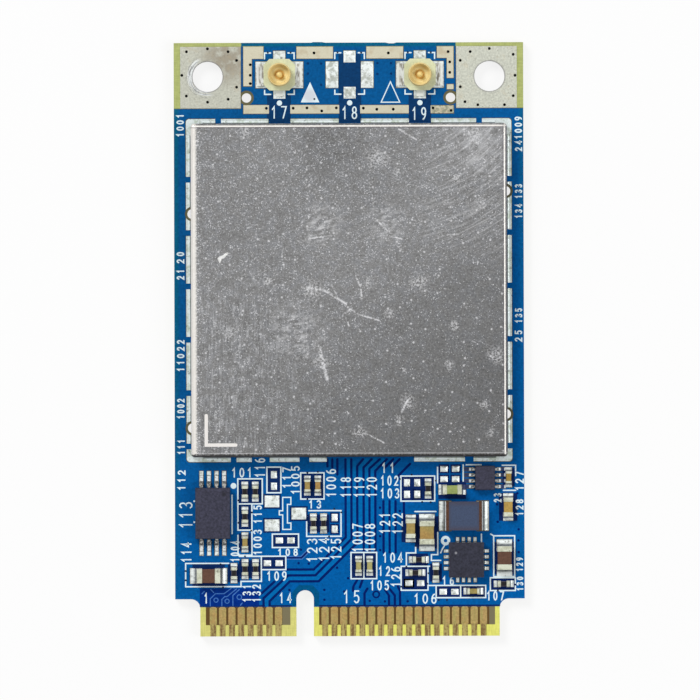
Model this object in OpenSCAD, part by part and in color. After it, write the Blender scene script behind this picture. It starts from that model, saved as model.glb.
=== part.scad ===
// Wireless card for a laptop: a full-size mini card with one soldered shield can.
// The card lies flat with its component side up. The aerial end points to +Y and
// the edge contacts to -Y. The origin is on the underside, at the centre of the card.
// All sizes are in millimetres.

/* [Card] */
// Width of the card
card_w = 30; // [29.2:0.1:34]
// Length of the card, with its edge contacts
card_l = 50.95; // [50.9:0.05:56]
// Thickness of the bare laminate
laminate_t = 0.92; // [0.7:0.02:1.5]
// Thickness of the outer copper with its plating
copper_t = 0.04; // [0.035:0.005:0.07]
// Thickness of the solder mask
mask_t = 0.025; // [0.01:0.005:0.03]
// Gap between a land and the mask round it
mask_gap = 0.05; // [0.02:0.01:0.07]
// Diameter of the small plated through holes
via_d = 0.25; // [0.15:0.05:0.35]
// Height of the stub that the snapped tab leaves on the top edge
tab_stub = 0.05; // [0.01:0.01:0.2]
// Width of that stub
tab_w = 1.3; // [0.5:0.1:2.5]

/* [Edge connector] */
// Width of the tongue that enters the socket
tongue_w = 25.7; // [25.4:0.1:27]
// Length of the tongue below its shoulders
tongue_l = 3.2; // [2.9:0.05:3.4]
// Inner radius where the tongue meets the shoulders
shoulder_r = 0.8; // [0.3:0.1:1]
// Width of the tongue left of the key slot
key_from_left = 8.25; // [8:0.05:8.5]
// Width of the key slot
key_w = 1.5; // [1:0.05:1.7]
// Depth of the key slot
key_l = 3.95; // [3.4:0.05:4.2]
// Spacing of the contacts
contact_pitch = 0.8; // [0.76:0.01:0.82]
// Width of a contact where the socket's spring rests
contact_w = 0.62; // [0.5:0.02:0.7]
// Width of a contact at the edge of the card
contact_tip_w = 0.48; // [0.3:0.02:0.5]
// Length of a contact
contact_l = 2.525; // [2.2:0.025:2.8]
// Length of the narrow part of a contact
contact_tip_l = 1.02; // [0.6:0.02:1.4]
// Distance of the first contact's centre from the tongue's left side
contact_first = 1.11; // [0.9:0.01:1.2]
// Sideways step of the underside's contacts
contact_stagger = 0.4; // [0:0.05:0.4]
// Corner cut at the upper end of a contact
contact_cut = 0.12; // [0.05:0.01:0.2]
// Number of contacts left of the key slot
contacts_left = 8; // [6:1:8]
// Number of contacts right of the key slot
contacts_right = 18; // [12:1:18]
// Number of contact places that the key slot takes up
contacts_skipped = 4; // [4:1:4]

/* [Mounting holes] */
// Diameter of the mounting holes
hole_d = 2.6; // [2.2:0.1:3.2]
// Distance between the two mounting holes
hole_spacing = 24.2; // [23.8:0.1:24.4]
// Distance of the hole centres from the top edge
hole_from_top = 2.9; // [2.8:0.05:3.1]
// Reach of a mounting land from its hole towards the card's middle
land_inner = 2.85; // [2.2:0.05:2.9]
// Reach of a mounting land from its hole towards the card's side
land_outer = 2.35; // [2:0.05:2.45]
// Reach of a mounting land from its hole towards the top edge
land_up = 2.57; // [2:0.05:2.7]
// Reach of a mounting land from its hole towards the shield
land_down = 2.72; // [2:0.05:3]
// Thickness of the copper wall in the mounting holes
barrel_t = 0.05; // [0.03:0.01:0.1]
// Diameter of the two plain tooling holes
tooling_d = 0.82; // [0.6:0.02:1]
// Diameter of the bare ring round a tooling hole
tooling_ring_d = 1.26; // [1.1:0.02:1.3]

/* [Aerial connectors] */
// Spacing of the three connector places
aerial_pitch = 6.03; // [5.8:0.05:6.2]
// Distance of the middle place from the card's centre line
aerial_x = 0.1; // [-0.2:0.05:0.2]
// Distance of the connectors from the top edge
aerial_from_top = 2.75; // [2.6:0.05:2.9]
// Side of the square insulator
insulator_side = 2.7; // [2.5:0.05:2.9]
// Cut at the insulator's corners
insulator_cut = 0.5; // [0.2:0.05:0.7]
// Height of the insulator above its seat
insulator_h = 0.5; // [0.4:0.05:0.8]
// Outer diameter of the round outer contact
collar_d = 2; // [1.8:0.05:2.1]
// Wall of the outer contact
collar_t = 0.12; // [0.1:0.01:0.2]
// Height of the outer contact above the card
collar_h = 1.25; // [1:0.05:1.4]
// Reach of the flange that is moulded into the insulator, beyond the outer contact
flange_reach = 0.2; // [0.16:0.01:0.25]
// Height of the insulator's top above which the snap groove starts
groove_lift = 0.12; // [0.05:0.01:0.15]
// Height of the snap groove round the outer contact
groove_h = 0.22; // [0.1:0.02:0.3]
// Depth of the snap groove
groove_depth = 0.05; // [0.02:0.01:0.07]
// Height of the gold floor inside the outer contact
bowl_h = 0.42; // [0.35:0.01:0.45]
// Diameter of the centre pin
pin_d = 0.5; // [0.4:0.05:0.6]
// Diameter of the clear ring round the centre pin
pin_gap_d = 0.84; // [0.7:0.02:1]
// Height of the centre pin above the card
pin_h = 1.05; // [0.8:0.05:1.15]
// Thickness of the connector's folded sheet tabs
tab_t = 0.12; // [0.08:0.01:0.15]
// Width of the straps that join the outer contact to its ground feet
strap_w = 1.4; // [1:0.05:1.6]
// Width of a ground foot
foot_w = 1.9; // [1.7:0.05:2.1]
// Length of a ground foot outside the insulator
foot_l = 0.6; // [0.4:0.05:0.65]
// Width of the centre pin's foot
pin_foot_w = 0.6; // [0.5:0.05:0.7]
// Reach of the centre pin's foot from the pin
pin_foot_l = 1.85; // [1.6:0.05:1.95]
// Distance of a ground land's inner edge from the connector's centre
ground_land_in = 0.98; // [0.9:0.02:1.2]
// Distance of a ground land's outer edge from the connector's centre
ground_land_out = 2.04; // [1.98:0.02:2.2]
// Length of a ground land
ground_land_l = 2.26; // [2.1:0.02:2.4]
// Distance of a signal land's inner edge from the connector's centre
signal_land_in = 1.05; // [0.9:0.05:1.2]
// Distance of a signal land's outer edge from the connector's centre
signal_land_out = 2.05; // [1.95:0.05:2.2]
// Width of a signal land
signal_land_w = 1.02; // [0.7:0.02:1.1]

/* [Shield can] */
// Outer width of the shield can
shield_w = 27.1; // [25:0.1:27.3]
// Outer length of the shield can
shield_l = 28.6; // [26:0.1:28.7]
// Height of the shield can above the card
shield_h = 1.9; // [1.6:0.05:2.4]
// Sheet thickness of the shield can
shield_t = 0.2; // [0.15:0.01:0.25]
// Outer radius of the shield can's upright corners
shield_corner_r = 1; // [0.6:0.1:2]
// Outer radius of the bend between its top and walls
shield_bend_r = 0.36; // [0.28:0.01:0.5]
// Distance of the shield can from the top edge
shield_from_top = 6.95; // [6.9:0.05:7.2]
// Height of the openings over the aerial tracks
mouse_h = 0.45; // [0.3:0.05:0.8]
// Width of the openings over the aerial tracks
mouse_w = 1.8; // [1.4:0.05:1.9]
// Left end of the low opening over the track bundle
bus_from = -1.95; // [-2.4:0.05:-1.5]
// Right end of the low opening over the track bundle
bus_to = 5.55; // [5:0.05:6]
// Height of the low opening over the track bundle
bus_h = 0.3; // [0.15:0.05:0.6]
// Width of a locating peg under the shield can
peg_w = 0.6; // [0.4:0.05:0.7]
// Reach of a locating peg below the wall
peg_l = 0.75; // [0.4:0.05:0.9]
// Diameter of the holes for the pegs
peg_hole_d = 0.85; // [0.78:0.01:1]
// Reach of the shield's solder land outside the wall
frame_out = 0.42; // [0.3:0.02:0.46]
// Reach of the shield's solder land inside the wall
frame_in = 0.45; // [0.3:0.05:0.6]
// Size of the solder fillet along the wall
frame_fillet = 0.24; // [0.1:0.02:0.28]
// Spacing of the mask webs across the solder land at the sides
web_pitch = 4.58; // [4.3:0.02:4.7]
// Width of those mask webs
web_w = 0.5; // [0.3:0.05:0.8]

/* [Chip parts] */
// Length of the small chip parts
small_l = 1; // [0.9:0.05:1.1]
// Width of the small chip parts
small_w = 0.5; // [0.45:0.05:0.55]
// Height of the small resistors
small_resistor_h = 0.35; // [0.3:0.05:0.5]
// Height of the small capacitors
small_capacitor_h = 0.5; // [0.4:0.05:0.6]
// Length of the small resistors' end caps
small_band = 0.25; // [0.2:0.01:0.3]
// Length of the small capacitors' end caps
small_capacitor_band = 0.18; // [0.15:0.01:0.25]
// Length of the medium capacitors
medium_l = 1.6; // [1.5:0.05:1.7]
// Width of the medium capacitors
medium_w = 0.8; // [0.7:0.05:0.85]
// Height of the medium capacitors
medium_h = 0.8; // [0.6:0.05:0.9]
// Length of the medium capacitors' end caps
medium_band = 0.35; // [0.25:0.05:0.5]
// Length of the large capacitors
large_l = 2; // [1.8:0.05:2.2]
// Width of the large capacitors
large_w = 1.25; // [1.1:0.05:1.4]
// Height of the large capacitors
large_h = 1; // [0.8:0.05:1.3]
// Length of the large capacitors' end caps
large_band = 0.45; // [0.3:0.05:0.6]
// Thickness of the metal of an end cap
cap_t = 0.03; // [0.02:0.005:0.05]
// Rounding of the chip parts' edges
chip_r = 0.06; // [0.03:0.01:0.1]
// Height of the solder crown on a land with no part on it
crown_h = 0.07; // [0.03:0.01:0.12]

/* [Packages] */
// Width of the memory chip's body
memory_w = 3; // [2.9:0.05:3.1]
// Length of the memory chip's body
memory_l = 4.4; // [4.2:0.1:4.6]
// Height of the memory chip's body
memory_h = 0.95; // [0.8:0.05:1.2]
// Span over the memory chip's leads
memory_span = 6.4; // [6.2:0.1:6.6]
// Spacing of the memory chip's leads
memory_pitch = 0.65; // [0.62:0.01:0.68]
// Width of the memory chip's leads
memory_lead_w = 0.26; // [0.18:0.02:0.32]
// Width of the switch chip's body
switch_w = 1.7; // [1.6:0.05:1.9]
// Length of the switch chip's body
switch_l = 2.1; // [2:0.05:2.3]
// Height of the switch chip's body
switch_h = 0.65; // [0.5:0.05:0.9]
// Span over the switch chip's leads
switch_span = 2.7; // [2.5:0.05:2.8]
// Spacing of the switch chip's leads
switch_pitch = 0.5; // [0.46:0.01:0.54]
// Width of the switch chip's leads
switch_lead_w = 0.2; // [0.14:0.02:0.26]
// Thickness of the sheet that the leads are bent from
lead_t = 0.12; // [0.08:0.01:0.16]
// Gap below a leaded chip's body
standoff = 0.1; // [0.05:0.01:0.15]
// Side of the regulator's square body
regulator_side = 3; // [2.9:0.05:3.1]
// Height of the regulator's body
regulator_h = 0.85; // [0.6:0.05:1]
// Side of the radio chip's square body
radio_side = 9; // [8.6:0.1:9.4]
// Height of the radio chip's body
radio_h = 0.85; // [0.6:0.05:1.1]
// Side of an amplifier's square body
amplifier_side = 3; // [2.8:0.1:3.2]
// Height of an amplifier's body
amplifier_h = 0.75; // [0.5:0.05:0.9]
// Spacing of the pads on the leadless chips
pad_pitch = 0.5; // [0.46:0.01:0.53]
// Width of the pads on the leadless chips
pad_w = 0.25; // [0.18:0.01:0.3]
// Length of the pads on the leadless chips
pad_l = 0.4; // [0.3:0.05:0.5]
// Thickness of the metal of those pads
pad_t = 0.2; // [0.1:0.05:0.25]
// Length of the power inductor
inductor_l = 3.2; // [3:0.05:3.4]
// Width of the power inductor
inductor_w = 2.5; // [2.3:0.05:2.6]
// Height of the power inductor
inductor_h = 1.4; // [1.1:0.05:1.6]
// Thickness of the flanges at the inductor's ends
flange_t = 0.24; // [0.15:0.01:0.35]
// Length of the crystal
crystal_l = 3.2; // [3:0.1:3.4]
// Width of the crystal
crystal_w = 2.5; // [2.3:0.1:2.7]
// Height of the crystal
crystal_h = 0.8; // [0.6:0.05:1.1]

/* [Hidden] */
$fn = 48;

// Heights of the layers, from the underside up
laminate_z = copper_t;
top_z = copper_t + laminate_t;
seat_z = top_z + copper_t;

// The four sides of the card, and the places measured from them
top_y = card_l / 2;
bottom_y = -card_l / 2;
tongue_x = -tongue_w / 2;
key_x = tongue_x + key_from_left + key_w / 2;
hole_x = hole_spacing / 2;
hole_y = top_y - hole_from_top;
aerial_y = top_y - aerial_from_top;
aerial_xs = [aerial_x - aerial_pitch, aerial_x + aerial_pitch];
spare_aerial_x = aerial_x;
shield_y = top_y - shield_from_top - shield_l / 2;
mask_end_y = bottom_y + contact_l;
eps = 0.01;

// Vias round the mounting holes, measured from the hole with +X towards the card's side
left_land_vias = [
    [1.8, 2.15], [0, 2.4], [-1.77, 2.15], [-2.5, 1.4], [-2.5, -0.9],
    [-1.77, -1.93], [0, -2.18], [1.82, -1.65], [2.2, 0.13]
];
right_land_vias = [
    [-1.64, 2.1], [0, 2.36], [2.05, 1.85], [2.2, 0.05], [2.04, -1.7],
    [1.29, -2.47], [-1, -2.47], [-2.1, -2.2], [-2.5, -0.92], [-2.5, 1.35]
];

// Bare ground strips, as two corners each, measured across and down from the top edge
ground_fields = [
    [[-9.02, 0.33], [-7.3, 1.37]], [[-9.02, 1.36], [-8.3, 3.72]],
    [[-4.45, 0.35], [-1.33, 1.36]], [[1.55, 0.35], [4.7, 1.36]],
    [[7.6, 0.35], [9.02, 1.33]], [[8.45, 1.32], [9.02, 3.05]],
    [[8.45, 3.6], [9.02, 4.02]],
    [[-9.02, 5.35], [-6.83, 6.08]], [[-5, 5.35], [-0.8, 6.08]],
    [[1, 5.38], [5.17, 6.08]], [[7.05, 5.42], [9.02, 6.08]]
];
ground_vias = [
    [-8.43, 1.88], [-8.43, 2.78], [-8.43, 3.5], [-2.95, 0.88], [3.43, 0.9],
    [8.56, 0.8], [8.7, 1.68], [8.7, 2.58], [-7.05, 5.62], [-4.75, 5.62],
    [-3.57, 5.6], [-2.3, 5.86], [-1.05, 5.6], [1.27, 5.63], [2.43, 5.73],
    [3.84, 5.73], [7.25, 5.63], [8.8, 5.85]
];
tooling_x = 8.76;
tooling_from_top = 4.72;

// Shield can: openings, breaks in its solder land, and pegs as side and distance from its top wall
mouse_xs = [aerial_x - aerial_pitch, aerial_x, aerial_x + aerial_pitch];
pegs = [[-1, 7.72], [-1, shield_l - 2.48], [1, 5.82], [1, shield_l - 3.63]];
top_webs = [-11.2, 11.2];
first_web = 4.78;
web_count = 6;
bottom_breaks = [[-10.2, -9.7], [-8.4, -6.85], [-4.3, -3.45], [9.9, 10.65]];

// Parts on the power and bus end: across from the centre line, up from the bottom edge, turn
resistor_places = [
    [-9, 12.43, 90], [-8.1, 12.43, 90], [-9, 10.28, 90], [-9.95, 5.43, 90],
    [-9, 5.78, 90], [-8.1, 5.78, 90], [-3.12, 9.68, 90], [-2.25, 9.68, 90],
    [6.73, 12.65, 90], [5.92, 6.55, 0], [5.62, 5.43, 0], [7.38, 5.43, 90], [13.2, 4.45, 0]
];
small_capacitor_places = [
    [-9, 8.08, 90], [-3.63, 12.93, 90], [-2.73, 12.93, 90], [0.75, 6.03, 90],
    [1.7, 6.03, 90], [13.65, 13.6, 90], [10.6, 3.83, 0]
];
medium_capacitor_places = [[5.23, 9.23, 90], [13.6, 11.05, 90], [8.8, 12.55, 0]];
input_capacitor_place = [-12.13, 5.2, 0];
output_capacitor_place = [13.27, 6.68, 90];
filter_capacitor_place = [6.62, 8.88, 90];
spare_places = [
    [-6.5, 13.38, 90], [-5.55, 8.23, 0], [-6.58, 6.28, 0], [-1.3, 9.68, 90],
    [4.92, 12.65, 90], [5.8, 12.65, 90], [8.6, 14.33, 0], [8.6, 13.45, 0],
    [5.57, 4.53, 0], [8.5, 3.78, 0]
];
spare_transistor_lands = [[-6.67, 11.58], [-6.67, 9.53], [-4.37, 10.53]];
spare_transistor_size = [1.25, 1];
memory_place = [-11.75, 10.58];
switch_place = [11.62, 13.55];
regulator_place = [10, 6.53];
inductor_place = [9.8, 10.3];

// Parts under the shield can: across and up from the middle of the can, turn
radio_place = [0.5, -3.2];
amplifier_places = [[-6, 8.6], [6, 8.6]];
crystal_place = [-8.2, -8.4];
filter_places = [[-6, 11.8, 90], [6, 11.8, 90], [-2.6, 8.6, 0], [2.8, 8.6, 0]];
inner_capacitor_places = [
    [-6.4, -6, 90], [-6.4, -3.4, 90], [-6.4, -0.8, 90], [7.4, -6, 90],
    [7.4, -3.4, 90], [7.4, -0.8, 90], [-2.4, 3.4, 0], [0.6, 3.4, 0],
    [3.6, 3.4, 0], [-2.4, -9.8, 0], [0.6, -9.8, 0], [3.6, -9.8, 0],
    [-9.4, 8.6, 90], [9.4, 8.6, 90]
];

// Land reach past the end of a part, and land growth at its sides
small_toe = 0.35;
medium_toe = 0.37;
large_toe = 0.58;
inductor_toe = 0.52;
lead_toe = 0.42;
pad_toe = 0.42;
land_side = 0.03;

// A chip part is written as its length, width, height, end cap and land reach
small_resistor = [small_l, small_w, small_resistor_h, small_band, small_toe];
small_capacitor = [
    small_l, small_w, small_capacitor_h, small_capacitor_band, small_toe
];
medium_capacitor = [medium_l, medium_w, medium_h, medium_band, medium_toe];
large_capacitor = [large_l, large_w, large_h, large_band, large_toe];
inner_filter = [medium_l, medium_w, small_capacitor_h, small_band, small_toe];

function from_edge(place) = [place[0], bottom_y + place[1]];
function in_shield(place) = [place[0], shield_y + place[1]];
function turn_of(place) = len(place) > 2 ? place[2] : 0;
function contact_xs(step) = [
    for (i = [0 : contacts_left + contacts_skipped + contacts_right - 1])
        if (i < contacts_left || i >= contacts_left + contacts_skipped)
            tongue_x + contact_first + step + i * contact_pitch
];

// Flat shapes

// A rectangle between two corners, grown on every side
module field(a, b, grow = 0) {
    low = [min(a[0], b[0]), min(a[1], b[1])];
    high = [max(a[0], b[0]), max(a[1], b[1])];
    translate([low[0] - grow, low[1] - grow])
        square([high[0] - low[0] + 2 * grow, high[1] - low[1] + 2 * grow]);
}

module rounded_field(w, l, r) {
    square([w - 2 * r, l], center = true);
    square([w, l - 2 * r], center = true);
    for (x = [-1, 1], y = [-1, 1])
        translate([x * (w / 2 - r), y * (l / 2 - r)])
            circle(r = r);
}

// The concave side of a solder fillet, with a thin lip at both of its ends
module fillet_profile(r) {
    lip = 0.02;
    difference() {
        square([r, r]);
        translate([r, r])
            circle(r = r - lip);
    }
}

// Outline of the card: shoulders, tongue with its key slot, and the snapped tab's stub
module card_outline() {
    shoulder_y = bottom_y + tongue_l;
    difference() {
        union() {
            field([-card_w / 2, shoulder_y], [card_w / 2, top_y]);
            field([tongue_x, bottom_y], [-tongue_x, shoulder_y + eps]);
            for (side = [-1, 1])
                shoulder_fillet(side, shoulder_y);
            translate([-2.6, top_y])
                polygon([
                    [-tab_w / 2, -eps], [tab_w / 2, -eps], [tab_w / 4, tab_stub], [-tab_w / 3, tab_stub]
                ]);
        }
        translate([key_x, bottom_y + key_l - key_w / 2])
            circle(d = key_w);
        field([key_x - key_w / 2, bottom_y - eps], [key_x + key_w / 2, bottom_y + key_l - key_w / 2]);
        translate([3.65, top_y + 0.01])
            polygon([[-0.5, 0], [0.5, 0], [0.25, -0.08], [-0.2, -0.08]]);
    }
}

module shoulder_fillet(side, y) {
    corner = side * tongue_w / 2;
    difference() {
        field([corner - side * eps, y - shoulder_r], [corner + side * shoulder_r, y + eps]);
        translate([corner + side * shoulder_r, y - shoulder_r])
            circle(r = shoulder_r);
    }
}

// Places of the drilled holes
module at_mounting_holes() {
    for (side = [-1, 1])
        translate([side * hole_x, hole_y])
            children();
}

module at_tooling_holes() {
    for (side = [-1, 1])
        translate([side * tooling_x, top_y - tooling_from_top])
            children();
}

module at_peg_holes() {
    for (peg = pegs)
        translate([peg[0] * (shield_w / 2 - shield_t / 2), top_y - shield_from_top - peg[1]])
            children();
}

module vias() {
    for (via = left_land_vias)
        translate([-hole_x - via[0], hole_y + via[1]])
            circle(d = via_d);
    for (via = right_land_vias)
        translate([hole_x + via[0], hole_y + via[1]])
            circle(d = via_d);
    for (via = ground_vias)
        translate([via[0], top_y - via[1]])
            circle(d = via_d);
}

// Every drilled hole but the mounting holes
module drillings() {
    vias();
    at_tooling_holes()
        circle(d = tooling_d);
    at_peg_holes()
        circle(d = peg_hole_d);
}

module mounting_field(side, grow = 0) {
    field([side * (hole_x - land_inner), hole_y - land_down],
          [side * (hole_x + land_outer), hole_y + land_up], grow);
}

module ground_shapes(grow = 0) {
    for (area = ground_fields)
        field([area[0][0], top_y - area[0][1]], [area[1][0], top_y - area[1][1]], grow);
}

// Lands of a two-ended chip part that lies along X
module chip_land_shapes(part, grow = 0) {
    inner = part[0] / 2 - part[3];
    outer = part[0] / 2 + part[4];
    half = part[1] / 2 + land_side;
    for (side = [-1, 1])
        field([side * inner, -half], [side * outer, half], grow);
}

module at_places(places) {
    for (place = places)
        translate(from_edge(place))
            rotate(turn_of(place))
                children();
}

module at_inner_places(places) {
    for (place = places)
        translate(in_shield(place))
            rotate(turn_of(place))
                children();
}

// Two rows of lands under bent leads, the rows along X
module lead_land_shapes(count, pitch, width, span, body, grow = 0) {
    for (side = [-1, 1], i = [0 : count - 1]) {
        x = (i - (count - 1) / 2) * pitch;
        field([x - width / 2 - land_side, side * (body / 2 + 0.15)],
              [x + width / 2 + land_side, side * (span / 2 + lead_toe)], grow);
    }
}

// Four rows of lands round a leadless chip
module pad_land_shapes(side, count, grow = 0) {
    for (turn = [0 : 90 : 270], i = [0 : count - 1])
        rotate(turn) {
            y = (i - (count - 1) / 2) * pad_pitch;
            field([side / 2 - pad_l, y - pad_w / 2], [side / 2 + pad_toe, y + pad_w / 2], grow);
        }
}

module terminal_land_shapes(grow = 0) {
    for (side = [-1, 1])
        field([side * (inductor_l / 2 - 0.5), -inductor_w / 2 - land_side],
              [side * (inductor_l / 2 + inductor_toe), inductor_w / 2 + land_side], grow);
}

// Ground lands left and right, signal lands above and below the connector
module aerial_land_shapes(grow = 0) {
    for (side = [-1, 1]) {
        field([side * ground_land_in, -ground_land_l / 2],
              [side * ground_land_out, ground_land_l / 2], grow);
        field([-signal_land_w / 2, side * signal_land_in],
              [signal_land_w / 2, side * signal_land_out], grow);
    }
}

module frame_breaks() {
    for (x = mouse_xs)
        field([x - mouse_w / 2 - 0.05, shield_y + shield_l / 2 - 1.2],
              [x + mouse_w / 2 + 0.05, shield_y + shield_l / 2 + 1.2]);
    for (x = top_webs)
        field([x - web_w / 2, shield_y + shield_l / 2 - 1.2],
              [x + web_w / 2, shield_y + shield_l / 2 + 1.2]);
    for (i = [0 : web_count - 1], side = [-1, 1]) {
        y = shield_y + shield_l / 2 - first_web - i * web_pitch;
        field([side * (shield_w / 2 - 1.2), y - web_w / 2], [side * (shield_w / 2 + 1.2), y + web_w / 2]);
    }
    for (gap = concat(bottom_breaks, [[bus_from, bus_to]]))
        field([gap[0], shield_y - shield_l / 2 - 1.2], [gap[1], shield_y - shield_l / 2 + 1.2]);
}

// The broken frame of solder land that the shield can stands on
module frame_shapes(grow = 0) {
    difference() {
        translate([0, shield_y])
            difference() {
                rounded_field(shield_w + 2 * frame_out + 2 * grow,
                              shield_l + 2 * frame_out + 2 * grow, 0.3);
                square([shield_w - 2 * frame_in - 2 * grow,
                        shield_l - 2 * frame_in - 2 * grow], center = true);
            }
        frame_breaks();
        at_peg_holes()
            circle(d = peg_hole_d + 0.4);
    }
}

module spare_field(grow = 0) {
    square([0.62 + 2 * grow, 0.5 + 2 * grow], center = true);
}

module contact_shape(x) {
    top = mask_end_y;
    waist = bottom_y + contact_tip_l;
    wide = contact_w / 2;
    tip = contact_tip_w / 2;
    translate([x, 0])
        polygon([
            [-tip, bottom_y], [tip, bottom_y], [tip, waist - 0.05], [wide, waist + 0.05],
            [wide, top - contact_cut], [wide - contact_cut, top], [contact_cut - wide, top],
            [-wide, top - contact_cut], [-wide, waist + 0.05], [-tip, waist - 0.05]
        ]);
}

// Every land on the power and bus end, for the mask to leave open
module open_lands() {
    at_places(resistor_places)
        chip_land_shapes(small_resistor, mask_gap);
    at_places(small_capacitor_places)
        chip_land_shapes(small_capacitor, mask_gap);
    at_places(medium_capacitor_places)
        chip_land_shapes(medium_capacitor, mask_gap);
    at_places([input_capacitor_place, output_capacitor_place, filter_capacitor_place])
        chip_land_shapes(large_capacitor, mask_gap);
    at_places([memory_place])
        lead_land_shapes(4, memory_pitch, memory_lead_w, memory_span, memory_l, mask_gap);
    at_places([switch_place])
        rotate(90)
            lead_land_shapes(4, switch_pitch, switch_lead_w, switch_span, switch_w, mask_gap);
    at_places([regulator_place]) {
        pad_land_shapes(regulator_side, 4, mask_gap);
        square(regulator_side - 1.4, center = true);
    }
    at_places([inductor_place])
        terminal_land_shapes(mask_gap);
    at_places(spare_places)
        for (side = [-1, 1])
            translate([side * 0.5, 0])
                spare_field(mask_gap);
    at_places(spare_transistor_lands)
        square(spare_transistor_size + 2 * [mask_gap, mask_gap], center = true);
}

module open_inner_lands() {
    at_inner_places(inner_capacitor_places)
        chip_land_shapes(small_capacitor, mask_gap);
    at_inner_places(filter_places)
        chip_land_shapes(inner_filter, mask_gap);
    at_inner_places([radio_place]) {
        pad_land_shapes(radio_side, 16, mask_gap);
        square(radio_side - 2.4, center = true);
    }
    at_inner_places(amplifier_places) {
        pad_land_shapes(amplifier_side, 4, mask_gap);
        square(amplifier_side - 1.4, center = true);
    }
    at_inner_places([crystal_place])
        crystal_land_shapes(mask_gap);
}

module crystal_land_shapes(grow = 0) {
    for (x = [-1, 1], y = [-1, 1])
        translate([x * (crystal_l / 2 - 0.5), y * (crystal_w / 2 - 0.4)])
            square([1.2 + 2 * grow, 0.95 + 2 * grow], center = true);
}

// Solid building blocks

// A slab on the card's upper face, as thick as the copper
module on_top(thickness = copper_t) {
    translate([0, 0, top_z])
        linear_extrude(thickness)
            children();
}

// A block with all its edges in plan and along its length rounded
module soft_block(l, w, h, r) {
    intersection() {
        linear_extrude(h)
            rounded_field(l, w, r);
        rotate([90, 0, 90])
            translate([0, h / 2, -l / 2])
                linear_extrude(l)
                    rounded_field(w, h, r);
    }
}

// A cap with rounded top edges, open at nothing: used twice to make the shield's shell
module rounded_cover(w, l, h, corner_r, bend_r) {
    flat_w = w - 2 * corner_r;
    flat_l = l - 2 * corner_r;
    linear_extrude(h - bend_r)
        rounded_field(w, l, corner_r);
    linear_extrude(h)
        rounded_field(w - 2 * bend_r, l - 2 * bend_r, corner_r - bend_r);
    for (x = [-1, 1])
        translate([x * (w / 2 - bend_r), flat_l / 2, h - bend_r])
            rotate([90, 0, 0])
                cylinder(r = bend_r, h = flat_l);
    for (y = [-1, 1])
        translate([-flat_w / 2, y * (l / 2 - bend_r), h - bend_r])
            rotate([0, 90, 0])
                cylinder(r = bend_r, h = flat_w);
    for (x = [-1, 1], y = [-1, 1])
        translate([x * flat_w / 2, y * flat_l / 2, h - bend_r])
            rotate_extrude()
                rounded_corner(corner_r, bend_r);
}

module rounded_corner(corner_r, bend_r) {
    intersection() {
        translate([corner_r - bend_r, 0])
            circle(r = bend_r);
        translate([corner_r - bend_r, -bend_r])
            square([bend_r, 2 * bend_r]);
    }
    translate([0, -bend_r])
        square([corner_r - bend_r, 2 * bend_r]);
}

// A land with the solder that climbs the end of its part: the part's end face is at X = 0
module soldered_land(inner, toe, width, fillet_r) {
    translate([0, width / 2, top_z])
        rotate([90, 0, 0])
            linear_extrude(width) {
                translate([-inner, 0])
                    square([inner + toe, copper_t]);
                translate([0, copper_t])
                    fillet_profile(fillet_r);
            }
}

module chip_lands(part) {
    for (turn = [0, 180])
        rotate(turn)
            translate([part[0] / 2, 0, 0])
                soldered_land(part[3], part[4], part[1] + 2 * land_side,
                              min(part[2] * 0.7, part[4] - 0.04));
}

// The ceramic of a chip part: it fills the hollows of the two end caps
module chip_body(part) {
    translate([0, 0, seat_z + cap_t])
        soft_block(part[0] - 2 * cap_t, part[1] - 2 * cap_t, part[2] - 2 * cap_t, chip_r);
}

module chip_ends(part) {
    difference() {
        translate([0, 0, seat_z])
            soft_block(part[0], part[1], part[2], chip_r);
        chip_body(part);
        translate([0, 0, seat_z + part[2] / 2])
            cube([part[0] - 2 * part[3], part[1] + 1, part[2] + 1], center = true);
    }
}

// A bare land under a low pillow of solder
module crowned_land(size) {
    crown_r_x = (size[0] * size[0] / 4 + crown_h * crown_h) / (2 * crown_h);
    crown_r_y = (size[1] * size[1] / 4 + crown_h * crown_h) / (2 * crown_h);
    on_top()
        square(size, center = true);
    intersection() {
        translate([-size[0] / 2, -size[1] / 2, seat_z - eps])
            cube([size[0], size[1], crown_h + 2 * eps]);
        translate([0, size[1], seat_z + crown_h - crown_r_x])
            rotate([90, 0, 0])
                cylinder(r = crown_r_x, h = 2 * size[1], $fn = 240);
        translate([-size[0], 0, seat_z + crown_h - crown_r_y])
            rotate([0, 90, 0])
                cylinder(r = crown_r_y, h = 2 * size[0], $fn = 240);
    }
}

// A moulded chip body whose sides lean in above and below the parting line
module moulded_body(w, l, h) {
    lean = 0.06;
    intersection() {
        moulded_side(w, l, h, lean);
        rotate(90)
            moulded_side(l, w, h, lean);
    }
}

module moulded_side(w, l, h, lean) {
    rotate([90, 0, 0])
        translate([0, 0, -l / 2])
            linear_extrude(l)
                polygon([
                    [-w / 2 + lean, 0], [w / 2 - lean, 0], [w / 2, h / 2],
                    [w / 2 - lean, h], [-w / 2 + lean, h], [-w / 2, h / 2]
                ]);
}

// A bent lead: it leaves the body at X = 0 and stands on its foot
module bent_lead(reach, rise, width) {
    knee = reach * 0.28;
    ankle = reach * 0.45;
    translate([0, width / 2, 0])
        rotate([90, 0, 0])
            linear_extrude(width)
                polygon([
                    [0, rise], [0, rise + lead_t], [knee + lead_t * 0.5, rise + lead_t],
                    [knee + lead_t, rise + lead_t * 0.6], [ankle + lead_t, lead_t * 1.2],
                    [ankle + lead_t * 1.5, lead_t], [reach, lead_t], [reach, 0],
                    [ankle + lead_t * 0.5, 0], [ankle, lead_t * 0.5], [knee, rise]
                ]);
}

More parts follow.
